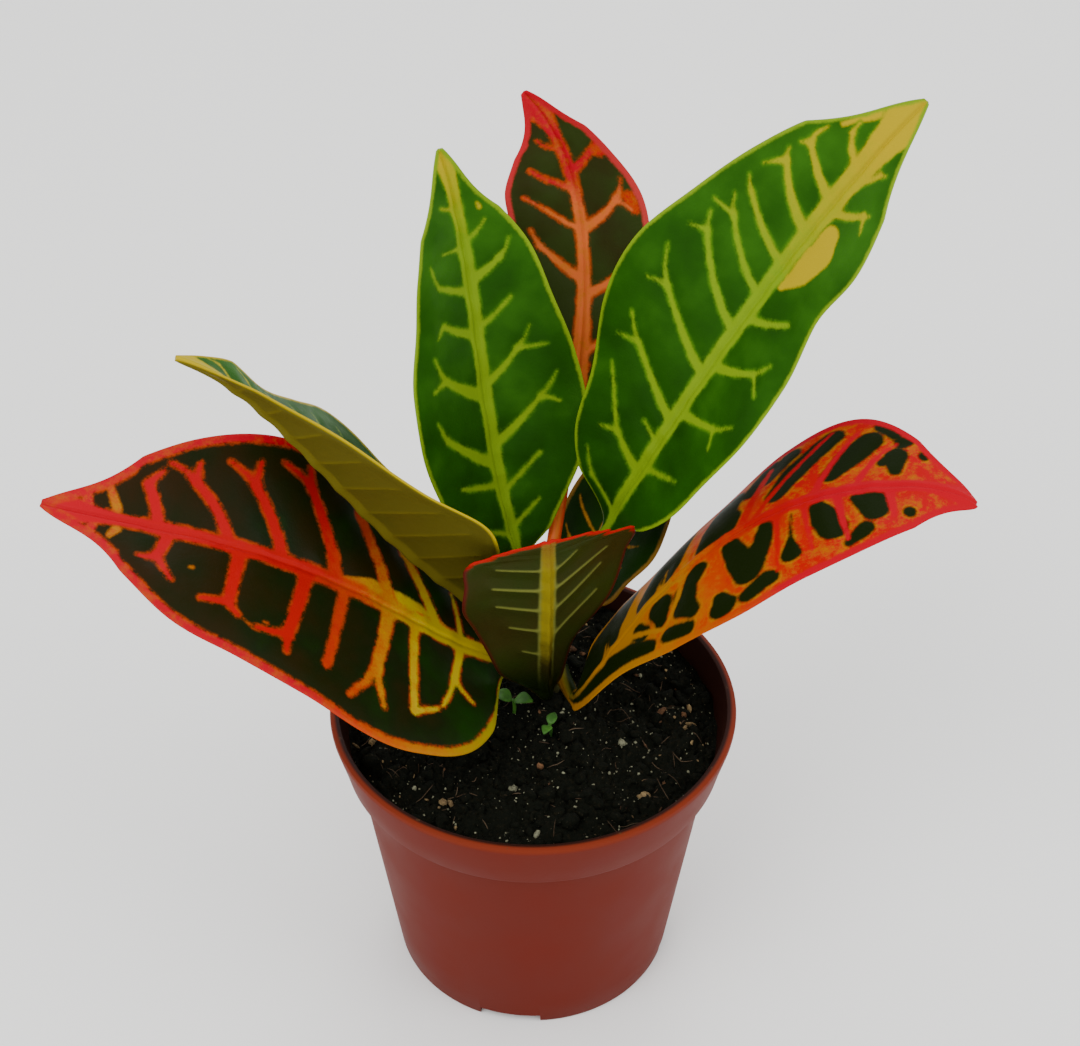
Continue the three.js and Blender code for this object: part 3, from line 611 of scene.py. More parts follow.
def soft_least(gaps):
    """The least of several distances, rounded where they meet."""
    total = sum(np.exp(-np.clip(gap, -8.0, 40.0) / VEIN_BLEND) for gap in gaps)
    return -VEIN_BLEND * np.log(np.maximum(total, 1e-30))


def side_vein_lines(leaf, length):
    """Every side vein and its twigs as flat points and half widths."""
    main, fine = [], []
    thinning, twig_share, twig_thinning = leaf.get("taper", (0.55, 0.42, 0.28))
    steps = np.linspace(0.0, 1.0, 5)
    bend = np.array([0.0, 0.5, 1.0])
    for half, veins in enumerate(leaf["veins"]):
        for root, end, reach, thick, *twigs in veins:
            line = flat_points(leaf, length, half, root + (end - root) * steps ** 1.3, reach * steps)
            main.append((line, thick * (1.0 - thinning * steps)))
            for further_place, further_reach in twigs:
                twig = flat_points(leaf, length, half, end + further_place * bend ** 1.2,
                                   reach + further_reach * bend)
                fine.append((twig, thick * (twig_share - twig_thinning * bend)))
    return main, fine


def leaf_fields(leaf, flat, blade, length):
    """Distances from every point to the veins, to the side ribs and to the patches."""
    main, fine = side_vein_lines(leaf, length)
    middle = np.abs(flat[..., 1]) - track(leaf["band"], blade)[:, None]
    far = np.full(flat.shape[:-1], FAR_OFF)
    main_gaps = [stroke_gap(flat, line, widths) for line, widths in main]
    fine_gaps = [stroke_gap(flat, line, widths) for line, widths in fine]
    ribs = np.minimum.reduce([gap + 0.6 for gap in main_gaps] + [far])
    patches = [far]
    for half, *points in leaf["patches"]:
        places, reaches, widths = zip(*points)
        patches.append(stroke_gap(flat, flat_points(leaf, length, half, places, reaches), widths))
    return soft_least([middle] + main_gaps + fine_gaps), ribs, soft_least(patches)


def lay_out_map(mesh, top, rows):
    """Lays the two faces side by side in a map of the leaf's surface."""
    columns = 2 * len(top) + 2
    start = np.concatenate([0.01 + 0.235 * (top + 1.0), [0.485], 0.515 + 0.235 * (1.0 - top[::-1]), [0.99]])
    stop = np.append(start[1:], 1.0)
    level = np.linspace(0.01, 0.99, rows)
    row, step = np.meshgrid(np.arange(rows - 1), np.arange(columns), indexing="ij")
    corners = [np.stack([edge[step], level[row + rise]], -1)
               for edge, rise in ((start, 0), (stop, 0), (stop, 1), (start, 1))]
    quads = np.stack(corners, 2).reshape(-1, 2)
    caps = np.full((2 * columns, 2), 0.002)
    chart = mesh.uv_layers.new(name="OFBake")
    chart.uv.foreach_set("vector", np.concatenate([quads, caps]).astype(np.float32).ravel())


def grow_leaf(name, leaf, sizes, material):
    """One leaf: round stalk, quilted blade, raised ribs beneath, as a closed mesh."""
    petiole = leaf["petiole"]
    places = np.concatenate([np.linspace(0.0, petiole, STALK_ROWS, endpoint=False),
                             np.linspace(petiole, 1.0, sizes.stations)])
    blade = np.maximum((places - petiole) / (1.0 - petiole), 0.0)
    point, across, up = midrib_frame(leaf, places)
    travelled = np.concatenate([[0.0], np.cumsum(np.linalg.norm(np.diff(point, axis=0), axis=1))])
    length = travelled[-1] - travelled[STALK_ROWS]

    # Columns run over the upper face, round one margin, back beneath and round the other margin
    even = np.linspace(-1.0, 1.0, 2 * sizes.columns + 1)
    top = np.sign(even) * np.abs(even) ** 1.15
    reach = np.concatenate([top, [1.0], top[::-1], [-1.0]])[None, :]
    side = np.concatenate([np.zeros(len(top)), [0.5], np.ones(len(top)), [0.5]])[None, :]
    above, beneath = side == 0.0, side == 1.0
    sign = np.where(reach >= 0.0, 1.0, -1.0)
    first = sign > 0.0

    width = np.where(first, half_width(leaf, 0, blade)[:, None], half_width(leaf, 1, blade)[:, None])
    distance = np.abs(reach) * width
    flat = np.stack([np.tile((blade * length)[:, None], (1, reach.shape[1])), distance * sign], axis=-1)
    vein, rib, patch = leaf_fields(leaf, flat, blade, length)
    slope = np.gradient(width, axis=0) / np.gradient(travelled)[:, None]
    margin = (width - distance) / np.sqrt(1.0 + np.minimum(np.abs(slope), 3.0) ** 2)

    along = blade[:, None]
    stalk = 1.0 - smooth_step(0.0, STALK_END, blade)[:, None]
    opened = 1.0 - stalk
    open_blade = smooth_step(0.0, 5.0, margin) * opened

    # Height of the two faces above and below the leaf's middle sheet
    from_rib = np.maximum(rib, 0.0)
    quilt = sizes.quilting * (1.0 - hump(from_rib, QUILT_REACH)) * open_blade
    crease = opened * (SHOULDER_HEIGHT * hump(distance, SHOULDER_REACH)
                       - GROOVE_DEPTH * hump(distance, GROOVE_REACH))
    keel_reach = np.minimum(KEEL_REACH * (1.0 - 0.7 * along), 0.7 * width)
    keel = (KEEL_TIP + KEEL_GROWTH * (1.0 - along)) * hump(distance, 0.75 * keel_reach)
    raised_rib = RIB_HEIGHT * hump(from_rib, RIB_REACH) * open_blade * smooth_step(0.5, 3.0, distance)
    thin = sizes.blade_thickness * (0.5 + 0.5 * smooth_step(0.0, MARGIN_THINNING, margin))
    height = np.where(above, quilt + crease, np.where(beneath, quilt - thin - keel - raised_rib, -0.5 * thin))

    # The stalk's own round section, a little flat on top and swollen where it joins the stem
    turn = np.radians(np.where(above, 87.0 * reach, np.where(beneath, 180.0 - 87.0 * reach, 90.0 * reach)))
    swell = 1.0 + 0.3 * np.exp(-places / STALK_FOOT)[:, None]
    stalk_half = 0.85 * half_width(leaf, 0, np.zeros(1))[0] * swell
    stalk_height = np.where(np.cos(turn) > 0.0, STALK_TOP, STALK_BOTTOM) * np.cos(turn) * swell - STALK_MIDDLE
    sideways = opened * (distance + np.where(side == 0.5, 0.15, 0.0))
    sideways = sideways + stalk * np.abs(stalk_half * np.sin(turn))
    height = opened * height + stalk * stalk_height

    # Each half tilts up by its lift, droops and ripples
    wave_height, *phases = leaf["wave"]
    ripple = np.sin(2.0 * np.pi * (WAVE_COUNT * along + np.where(first, *phases))) * np.sin(np.pi * along)
    near, far = (track(droop, blade)[:, None] for droop in leaf.get("droop", ((0, 0), (0, 0))))
    rise = (distance / width) ** 2 * (wave_height * ripple - width * np.where(first, near, far)) * opened
    lift = np.radians(np.where(first, *leaf["lift"])) * opened
    face_lift = lift * np.minimum(distance / 2.5, 1.0)

    outwards, up = across[:, None, :] * sign[..., None], up[:, None, :]

    def tilted(forward, upward, angle):
        """A direction turned from forward towards upward."""
        return forward * np.cos(angle)[..., None] + upward * np.sin(angle)[..., None]

    points = (point[:, None, :] + tilted(outwards, up, lift) * sideways[..., None]
              + tilted(up, -outwards, lift) * rise[..., None]
              + tilted(up, -outwards, face_lift) * height[..., None])

    rows, columns = points.shape[:2]
    thing = mesh_object(name, points.reshape(-1, 3), tube_faces(rows, columns), material)
    under = np.tile(side, (rows, 1))
    for label, values in (("vein", vein), ("patch", patch), ("margin", margin), ("under", under),
                          ("along", along)):
        values = np.broadcast_to(values, (rows, columns)).astype(np.float32)
        thing.data.attributes.new(label, "FLOAT", "POINT").data.foreach_set("value", values.ravel())
    spot = np.stack([flat[..., 0], flat[..., 1], 60.0 * under], axis=-1).astype(np.float32)
    thing.data.attributes.new("flat", "FLOAT_VECTOR", "POINT").data.foreach_set("vector", spot.ravel())
    lay_out_map(thing.data, top, rows)
    face_outwards(thing)
    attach(thing, "root")
    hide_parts(name)


# Sizes of the leaf's mottling in mm
CLOUD = 14
BLOTCH = 2.5
MOTTLE = 3.5
SPECK = 0.5
FINE_NET = 1.3


def leaf_skin(name, skin, pigments):
    """Living leaf: a waxy cuticle over pigment, a satin gloss and colour that fades softly off the veins."""
    material, tree, shader = new_material(name)
    mix = {pigment: tuple(getattr(pigments, pigment)) for pigment in CrotonPigments.__annotations__}
    fields = {label: add(tree, "Attribute", attribute_name=label).outputs["Fac"]
              for label in ("vein", "patch", "margin", "under", "along")}
    flat = add(tree, "Attribute", attribute_name="flat").outputs["Vector"]
    along = fields["along"]
    clouds = add(tree, "TexNoise", {"Vector": flat, "Scale": 1 / CLOUD, "Detail": 3.0})
    blotches = add(tree, "TexNoise", {"Vector": flat, "Scale": 1 / BLOTCH, "Detail": 4.0, "Roughness": 0.6})
    specks = add(tree, "TexNoise", {"Vector": flat, "Scale": 1 / SPECK, "Detail": 2.0})
    mottle = add(tree, "TexNoise", {"Vector": flat, "Scale": 1 / MOTTLE, "Detail": 7.0, "Roughness": 0.78})

    # Edges waver by a few tenths of a mm, and the place where a colour turns by a few per cent of the leaf
    coarse = add(tree, "Math", {0: blotches, 1: 0.8, 2: -0.6}, **SCALED_SUM)
    waver = add(tree, "Math", {0: specks, 1: 0.4, 2: coarse}, **SCALED_SUM)
    wander = add(tree, "Math", {0: waver, 1: 0.18, 2: along}, **SCALED_SUM)

    # The blade's own colour turns partly along the leaf and partly from cloud to cloud
    cloudy = skin.get("cloudy", 0.5)
    shade = add(tree, "MapRange", {0: clouds, 1: 0.3, 2: 0.7, 3: 0.0, 4: cloudy})
    blade_place = add(tree, "Math", {0: wander, 1: 1.0 - cloudy, 2: shade}, **SCALED_SUM)

    def stops(ramp):
        """Places and colours of a ramp, which a lone pigment fills."""
        ramp = ((0, ramp), (1, ramp)) if isinstance(ramp, str) else ramp
        return [(place, mix[pigment]) for place, pigment in ramp]

    # A mottled layer has torn flecks of another pigment
    fleck_pigment, fleck_share, flecked_layers = skin.get("flecks", ("gold", 0.0, ()))
    fleck = add(tree, "MapRange", {0: mottle, 1: 0.47, 2: 0.64, 3: 0.0, 4: fleck_share})

    def pigmented(layer, place):
        """One layer's colour along the leaf, with its flecks."""
        plain = add(tree, "ValToRGB", {0: place}, stops=stops(skin[layer]))
        if layer not in flecked_layers:
            return plain
        return add(tree, "Mix", {0: fleck, 6: plain, 7: mix[fleck_pigment]}, **COLOURS)

    # Patches, veins and the margin lie over the blade, some in a torn halo
    colour = pigmented("blade", blade_place)
    halo_pigment, halo_fields = skin.get("halo", ("gold", ()))
    for field, layer, edge, soft in (("patch", "patches", skin.get("patch_growth", 0.0), 0.45),
                                     ("vein", "veins", 0.0, 0.4),
                                     ("margin", "margin", skin["margin_width"], 0.4)):
        gap = add(tree, "Math", {0: fields[field], 1: waver}, **SUM)
        if field in halo_fields:
            rim = add(tree, "MapRange", {0: gap, 1: edge + 0.9, 2: edge + 0.1, 3: 0.0, 4: 0.8}, **SOFT)
            torn = add(tree, "MapRange", {0: mottle, 1: 0.42, 2: 0.56})
            halo = add(tree, "Math", {0: rim, 1: torn}, **PRODUCT)
            colour = add(tree, "Mix", {0: halo, 6: colour, 7: mix[halo_pigment]}, **COLOURS)
        colour = painted(tree, colour, pigmented(layer, wander), gap, edge + soft, edge - soft, **SOFT)

    # The underside is duller, with pale ribs, a keel that pales away from the stalk where it shows, and
    # painted shade near the stalk
    dull, patchy = (mix[pigment] for pigment in skin["under"])
    below = painted(tree, dull, patchy, clouds, 0.3, 0.7)
    below = painted(tree, below, mix[skin["rib"]], fields["vein"], 0.45, -0.2, **SOFT)
    if "keel" in skin:
        sideways = add(tree, "SeparateXYZ", {0: flat}).outputs["Y"]
        sideways = add(tree, "Math", {0: sideways}, operation="ABSOLUTE")
        sideways = add(tree, "Math", {0: sideways, 1: waver}, **SUM)
        keel = add(tree, "ValToRGB", {0: wander}, stops=stops(skin["keel"]))
        below = painted(tree, below, keel, sideways, 1.8, 0.9, **SOFT)
        # Painted shade: the underside turns black green towards the stalk, where it lies low by the soil
        below = painted(tree, below, mix["black_green"], along, 0.42, 0.08, **SOFT)
    rim = add(tree, "ValToRGB", {0: along}, stops=stops(skin["margin"]))
    edge = skin["margin_width"]
    below = painted(tree, below, rim, fields["margin"], edge + 0.4, edge - 0.4, **SOFT)

    # A net of hair-fine veins, drawn a little coarser than life so that it shows
    net = add(tree, "TexVoronoi", {"Vector": flat, "Scale": 1 / FINE_NET}, feature="DISTANCE_TO_EDGE")
    lines = add(tree, "MapRange", {0: net, 1: 0.0, 2: 0.12})
    grain = add(tree, "Math", {0: specks, 1: 0.5, 2: lines}, **SCALED_SUM)
    feed(tree, shader, {
        "Base Color": add(tree, "Mix", {0: fields["under"], 6: colour, 7: below}, **COLOURS),
        "Normal": add(tree, "Bump", {"Height": grain, "Strength": 0.12, "Distance": 0.12 * MM}),
        "Roughness": add(tree, "MapRange", {0: blotches, 1: 0.3, 2: 0.7, 3: 0.36, 4: 0.48}),
        "IOR": 1.45,
        "Specular IOR Level": skin.get("sheen", 0.08),
    })
    return material


# The pot, in mm. Its profile is radius and height, from the middle of the base up the outside, over the
# lip and down the inside to the middle of the floor.

POT_PROFILE = (
    (0.02, 0), (8.6, 0), (9, 0.4), (9, 2.6), (29.1, 2.6), (29.1, 0.3), (29.4, 0), (31.7, 0), (32.1, 0.25),
    (32.3, 0.7), (33.2, 7.5), (36, 29), (38.5, 48), (39.6, 57), (39.85, 58.3), (40.3, 58.75), (41.6, 58.95),
    (42.1, 59.2), (42.4, 59.8), (43.3, 64), (44.9, 70.4), (45, 71.2), (44.85, 71.7), (44.4, 71.95),
    (43.6, 72), (43, 71.8), (42.75, 71.3), (41.5, 66), (40, 59), (39.4, 55), (36.2, 32), (32.2, 7),
    (31.7, 5.2), (30.6, 4.5), (29, 4.4), (10, 4.4), (0.02, 4.4),
)
NOTCH_COUNT = 4
NOTCH_TURN = -99.6
NOTCH_WIDTH = 14.0
NOTCH_HEIGHT = 2.5
NOTCH_REACH = (27.5, 36.0)
DRAIN_CIRCLE = 19.0
DRAIN_RADIUS = 3.5
DRAIN_SIDES = 40
BELOW_POT = -1.0
ABOVE_FLOOR = 6.0

# Corners of the six sides of a box
BOX_FACES = [[0, 1, 3, 2], [4, 5, 7, 6], [0, 1, 5, 4], [2, 3, 7, 6], [0, 2, 6, 4], [1, 3, 7, 5]]

# Edges sharper than this stay crisp
CREASE_ANGLE = math.radians(32)

# Heights where painted light on the lip and painted shade on the inner wall fade in. The inner wall is found
# by its radius less its lean for each mm up.
LIP_LEVELS = (70.2, 71.6)
WALL_LEAN = 0.221
INNER_WALL = (28.3, 27.7)
INNER_SHADE_LEVELS = (61.0, 62.5)


def cutter(points, faces):
    """A solid used only to cut the pot, and removed after the cut."""
    thing = mesh_object("cutter", points, faces)
    face_outwards(thing)
    return thing


def cut_away(thing, cutters):
    """Takes the cutters away from a solid and removes them."""
    for number, tool in enumerate(cutters):
        trim = thing.modifiers.new("cut %d" % number, "BOOLEAN")
        trim.operation = "DIFFERENCE"
        trim.solver = "EXACT"
        trim.object = tool
    bpy.context.view_layer.update()
    trimmed = bpy.data.meshes.new_from_object(thing.evaluated_get(bpy.context.evaluated_depsgraph_get()))
    thing.modifiers.clear()
    thing.data = trimmed
    for tool in cutters:
        bpy.data.objects.remove(tool)


def pot_plastic(sizes):
    """Injection-moulded polypropylene: an even satin skin, fine mould grain, dust and splashes of soil, with
    painted light on the thin lip and painted shade on the inner wall.
    """
    material, tree, shader = new_material("pot plastic")
    place = add(tree, "NewGeometry").outputs["Position"]
    height = add(tree, "SeparateXYZ", {0: place}).outputs["Z"]
    clouds = add(tree, "TexNoise", {"Vector": place, "Scale": 1 / (18 * MM), "Detail": 3.0})
    grain = add(tree, "TexNoise", {"Vector": place, "Scale": 1 / (0.6 * MM), "Detail": 2.0})
    splash = add(tree, "TexNoise", {"Vector": place, "Scale": 1 / (2.2 * MM), "Detail": 6.0,
                                    "Roughness": 0.7})
    plastic = tuple(sizes.plastic)
    darker = tuple(0.82 * v for v in plastic[:3]) + (1.0,)
    body = add(tree, "Mix", {0: clouds, 6: darker, 7: plastic}, **COLOURS)
    # Painted light: the thin lip is coloured lighter where light would show through it
    lip_lit = painted(tree, body, tuple(sizes.lip), height, LIP_LEVELS[0] * MM, LIP_LEVELS[1] * MM, **SOFT)

    # Painted shade darkens the leaning inner wall, but only above the foot of the collar
    level_place = add(tree, "VectorMath", {0: place, 1: (1.0, 1.0, 0.0)}, **PRODUCT)
    radius = add(tree, "VectorMath", {0: level_place}, operation="LENGTH")
    upright = add(tree, "Math", {0: height, 1: -WALL_LEAN, 2: radius}, **SCALED_SUM)
    inner = add(tree, "MapRange", {0: upright, 1: INNER_WALL[0] * MM, 2: INNER_WALL[1] * MM})
    high = add(tree, "MapRange", {0: height, 1: INNER_SHADE_LEVELS[0] * MM, 2: INNER_SHADE_LEVELS[1] * MM})
    inner_shade_cover = add(tree, "Math", {0: inner, 1: high}, **PRODUCT)
    lined = add(tree, "Mix", {0: inner_shade_cover, 6: lip_lit, 7: tuple(sizes.inner_wall_shade)}, **COLOURS)

    # Splashes of soil are thickest at the foot and on the lip
    at_foot = add(tree, "MapRange", {0: height, 1: 12 * MM, 2: 0.0, 3: 0.0, 4: 0.08})
    at_lip = add(tree, "MapRange", {0: height, 1: 69 * MM, 2: 72 * MM, 3: 0.0, 4: 0.1})
    thickest = add(tree, "Math", {0: at_foot, 1: at_lip}, **SUM)
    dirt = add(tree, "Math", {0: splash, 1: thickest}, **SUM)
    feed(tree, shader, {
        "Base Color": painted(tree, lined, tuple(sizes.dirt), dirt, 0.72, 0.80, **SOFT),
        "Normal": add(tree, "Bump", {"Height": grain, "Strength": 0.12, "Distance": 0.1 * MM}),
        "Roughness": add(tree, "MapRange", {0: clouds, 1: 0.3, 2: 0.7, 3: 0.44, 4: 0.56}),
        "IOR": 1.49,
        "Specular IOR Level": 0.06,
    })
    return material


def build_pot(sizes):
    """The nursery pot with its stepped collar, foot notches and drain holes."""
    pot = mesh_object("nursery_pot", *turned(POT_PROFILE, sizes.segments))
    face_outwards(pot)
    tools = []
    for number in range(NOTCH_COUNT):
        turn = math.radians(NOTCH_TURN + 360 / NOTCH_COUNT * number)
        ahead = np.array([math.cos(turn), math.sin(turn), 0.0])
        beside = np.array([-math.sin(turn), math.cos(turn), 0.0])
        corners = [ahead * far + beside * half + np.array([0, 0, z]) for far in NOTCH_REACH
                   for half in (-NOTCH_WIDTH / 2, NOTCH_WIDTH / 2) for z in (BELOW_POT, NOTCH_HEIGHT)]
        tools.append(cutter(corners, BOX_FACES))
        drill, faces = turned([(DRAIN_RADIUS, BELOW_POT), (DRAIN_RADIUS, ABOVE_FLOOR)], DRAIN_SIDES)
        tools.append(cutter(drill + ahead * DRAIN_CIRCLE, faces))
    cut_away(pot, tools)
    pot.data.materials.clear()
    pot.data.materials.append(pot_plastic(sizes))
    pot.data.polygons.foreach_set("use_smooth", [True] * len(pot.data.polygons))
    pot.data.set_sharp_from_angle(angle=CREASE_ANGLE)
    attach(pot, "root")
    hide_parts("pot")


# The soil, in mm

SOIL_EDGE_LEVEL = 64.2
SOIL_MOUND = 1.4
SOIL_RADIUS = 41.9
SOIL_RINGS, SOIL_STEPS = 110, 320
REAR_BANK = 2.6
UNEVENNESS = 0.3

# The body below the surface narrows to these shares of its radius at these heights
SKIRTS = ((0.95, 58.5), (0.744, 4.9))

# The crumb of the surface, as height, two pitches in radians for each mm, and a shift
RIPPLES = ((0.30, 1.3, 2.1, 0.4), (0.26, 2.9, 1.7, 1.9), (0.2, 4.7, -3.1, 0.7), (0.16, 6.9, 5.3, 2.6))

LUMP_COUNT = 84
LUMP_SPREAD = 39.0
LUMP_HEIGHT = 0.42
GOLDEN_ANGLE = 2.39996
STEM_FOOT = (2.5, 11.0)
STEM_CLEARANCE = 4.5
LITTER_SEED = 41


def soil_lumps():
    """Middle and radius of each lump of peat, spread by the golden angle."""
    number = np.arange(LUMP_COUNT)
    reach = LUMP_SPREAD * np.sqrt((number + 0.5) / LUMP_COUNT)
    x = reach * np.cos(GOLDEN_ANGLE * number) + 1.6 * np.sin(12.9 * number)
    y = reach * np.sin(GOLDEN_ANGLE * number) + 1.6 * np.sin(7.7 * number + 1.0)
    return x, y, 2.6 + 2.4 * (0.5 + 0.5 * np.sin(5.3 * number))


def soil_level(x, y):
    """Height of the soil: a low mound, higher at the back, with lumps and unevenness."""
    reach = np.hypot(x, y) / SOIL_RADIUS
    uneven = np.sin(0.71 * x + 1.3) * np.sin(0.83 * y - 0.4) + 0.6 * np.sin(1.1 * x - 0.9 * y)
    rear_bank = REAR_BANK * np.maximum(y / 42.0, 0.0) ** 2
    lump = np.zeros_like(uneven)
    for middle_x, middle_y, radius in zip(*soil_lumps()):
        near = np.maximum(1.0 - ((x - middle_x) ** 2 + (y - middle_y) ** 2) / radius ** 2, 0.0)
        lump = np.maximum(lump, LUMP_HEIGHT * radius * near)
    return SOIL_EDGE_LEVEL + SOIL_MOUND * (1.0 - reach ** 2) + rear_bank + UNEVENNESS * uneven + lump


def potting_peat(sizes):
    """Damp milled peat: black-brown crumb that drinks light, with brown and pale flecks."""
    material, tree, shader = new_material("damp peat")
    place = add(tree, "NewGeometry").outputs["Position"]
    crumb = add(tree, "TexNoise", {"Vector": place, "Scale": 1 / (0.9 * MM), "Detail": 5.0, "Roughness": 0.7})
    fleck = add(tree, "TexNoise", {"Vector": place, "Scale": 1 / (0.5 * MM), "Detail": 3.0, "Roughness": 0.6})
    cells = add(tree, "TexVoronoi", {"Vector": place, "Scale": 1 / (1.1 * MM)})
    body = painted(tree, tuple(sizes.peat), tuple(sizes.brown_peat), crumb, 0.52, 0.75)
    relief = add(tree, "Math", {0: cells, 1: -0.6, 2: crumb}, **SCALED_SUM)
    feed(tree, shader, {
        "Base Color": painted(tree, body, tuple(sizes.dust), fleck, 0.68, 0.76),
        "Normal": add(tree, "Bump", {"Height": relief, "Strength": 0.8, "Distance": 0.6 * MM}),
        "Roughness": 0.85,
        "Specular IOR Level": 0.06,
    })
    return material


def speckled_material(name, colour, darker, grain, roughness):
    """A matt mineral or woody surface with two close tones at a real grain size in mm."""
    material, tree, shader = new_material(name)
    place = add(tree, "NewGeometry").outputs["Position"]
    tone = add(tree, "TexNoise", {"Vector": place, "Scale": 1 / (grain * MM), "Detail": 4.0})
    patchy = add(tree, "TexNoise", {"Vector": place, "Scale": 1 / (6 * MM), "Detail": 1.0})
    both = add(tree, "Math", {0: tone, 1: patchy}, **SUM)
    feed(tree, shader, {
        "Base Color": painted(tree, tuple(darker), tuple(colour), both, 0.75, 1.25),
        "Normal": add(tree, "Bump", {"Height": tone, "Strength": 0.5, "Distance": 0.2 * MM}),
        "Roughness": roughness,
        "Specular IOR Level": 0.15,
    })
    return material


def scattered(pick, count, spread, least=0.0):
    """Places on the soil, clear of the stem and at least so far from the middle."""
    found = []
    while len(found) < count:
        radius = math.sqrt(least ** 2 + (spread ** 2 - least ** 2) * pick.random())
        angle = 2.0 * math.pi * pick.random()
        x, y = radius * math.cos(angle), radius * math.sin(angle)
        if math.hypot(x - STEM_FOOT[0], y - STEM_FOOT[1]) > STEM_CLEARANCE:
            found.append((x, y))
    return found


def lump_mesh():
    """Points and triangles of a small ball that lumps are shaped from."""
    ball = bmesh.new()
    bmesh.ops.create_icosphere(ball, subdivisions=2, radius=1.0)
    points = np.array([corner.co[:] for corner in ball.verts])
    faces = [[corner.index for corner in face.verts] for face in ball.faces]
    ball.free()
    return points, faces


def scatter_lumps(name, material, pick, places, sizes, squash, sink):
    """Many small uneven lumps in one object, each part sunk in the soil."""
    ball, ball_faces = lump_mesh()
    lumps = []
    for x, y in places:
        size = sizes[0] + (sizes[1] - sizes[0]) * pick.random() ** 2.2
        stretch = 0.5 * size * (1.0 + squash * (pick.random(3) - 0.5))
        dents = 1.0 + 0.22 * np.sin(ball @ pick.normal(0, 2.4, 3) + 6.0 * pick.random())
        dents *= 1.0 + 0.16 * np.sin(ball @ pick.normal(0, 5.0, 3) + 6.0 * pick.random())
        turn = np.array(Matrix.Rotation(6.3 * pick.random(), 3, Vector(pick.normal(0, 1, 3)).normalized()))
        middle = np.array([x, y, float(soil_level(x, y)) + sink * size])
        lumps.append(((ball * dents[:, None] * stretch) @ turn.T + middle, ball_faces))
    thing = mesh_object(name, *joined(lumps), material)
    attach(thing, "root")


def scatter_fibres(name, material, pick, places, lengths, thickness):
    """Loose bark fibres lying on the soil, each a thin bent tapering stick."""
    rings, steps = 9, 6
    run = np.linspace(-0.5, 0.5, rings)
    angle = around(steps)[None, :, None]
    fibres = []
    for x, y in places:
        length = lengths[0] + (lengths[1] - lengths[0]) * pick.random() ** 1.6
        heading = 2.0 * math.pi * pick.random()
        bend = 0.9 * (pick.random() - 0.5)
        tilt = 0.35 * (pick.random() - 0.35)
        radius = thickness * (0.5 + 0.7 * pick.random())
        line = np.stack([x + length * run * np.cos(heading + bend * run),
                         y + length * run * np.sin(heading + bend * run), np.zeros(rings)], axis=1)
        line[:, 2] = soil_level(line[:, 0], line[:, 1]) + 0.35 + np.maximum(length * tilt * (run + 0.5), 0.0)
        along = unit(np.gradient(line, axis=0))
        beside = unit(np.cross(along, [0.0, 0.0, 1.0]))
        above = np.cross(beside, along)
        taper = radius * (1.0 - 0.7 * np.abs(2.0 * run) ** 2.5)
        tube = line[:, None, :] + taper[:, None, None] * (
            beside[:, None, :] * np.cos(angle) + above[:, None, :] * np.sin(angle))
        fibres.append((tube.reshape(-1, 3), tube_faces(rings, steps)))
    thing = mesh_object(name, *joined(fibres), material)
    face_outwards(thing)
    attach(thing, "root")


def build_soil(sizes):
    """The soil that fills the pot: a crumbly top on a closed body, with grit, crumbs and fibres on it."""
    radius = (np.linspace(0.01, 1.0, SOIL_RINGS) ** 0.8 * SOIL_RADIUS)[:, None]
    angle = around(SOIL_STEPS)
    x, y = radius * np.cos(angle), radius * np.sin(angle)
    roughness = sum(height * np.sin(a * x + b * y + c) * np.sin(b * x - a * y + 2.0 * c)
                    for height, a, b, c in RIPPLES)
    z = soil_level(x, y) + roughness * np.minimum((SOIL_RADIUS - radius) / 2.0, 1.0)
    surface = np.stack([x, y, z], axis=-1)
    skirts = [surface[-1:] * np.array([reach, reach, 0.0]) + np.array([0.0, 0.0, level])
              for reach, level in SKIRTS]
    points = np.concatenate([surface] + skirts)
    peat = potting_peat(sizes)
    soil = mesh_object("potting_soil", points.reshape(-1, 3), tube_faces(len(points), SOIL_STEPS), peat)
    face_outwards(soil)
    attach(soil, "root")
    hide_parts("soil")

    # The litter, each kind with its count and spread, its range of sizes, its unevenness and its height
    pick = np.random.default_rng(LITTER_SEED)
    grit = speckled_material("perlite and sand grains", sizes.grit, sizes.grit_shade, 0.4, 0.8)
    bark = speckled_material("bark crumbs", sizes.bark, sizes.bark_shade, 0.5, 0.85)
    fibre = speckled_material("bark fibres", sizes.fibre, sizes.fibre_shade, 0.5, 0.8)
    husk = speckled_material("straw husks", sizes.husk, sizes.husk_shade, 0.5, 0.8)
    scatter_lumps("peat_crumbs", peat, pick, scattered(pick, 900, 40.5), (0.8, 3.4), 0.9, -0.05)
    scatter_lumps("fine_grains", grit, pick, scattered(pick, 680, 40.8), (0.22, 0.62), 0.6, 0.25)
    scatter_lumps("coarse_grains", grit, pick, scattered(pick, 20, 39.0), (0.9, 1.8), 0.6, 0.2)
    scatter_lumps("bark_crumbs", bark, pick, scattered(pick, 46, 40.0), (0.7, 2.0), 1.2, 0.15)
    scatter_lumps("straw_husks", husk, pick, scattered(pick, 70, 41.0, 30.0), (0.4, 1.7), 1.5, 0.3)
    scatter_fibres("bark_fibres", fibre, pick, scattered(pick, 130, 38.0), (1.5, 6.0), 0.08)


# The stem, in mm

STEM_AXIS = ((2.5, 11, 34), (2.5, 11, 66), (3, 12, 86), (3.3, 13, 98), (3.4, 13.3, 103))
STEM_RADII = (3.4, 4.0, 3.4, 2.4, 0.8)
STEM_RINGS, STEM_STEPS = 150, 48
SCAR_LEVELS = (69, 73.5, 77.5, 81, 84.5, 87.5, 91, 95)
SCAR_HEIGHT, SCAR_REACH = 0.22, 0.7
FURROW_COUNT, FURROW_DEPTH = 7, 0.035


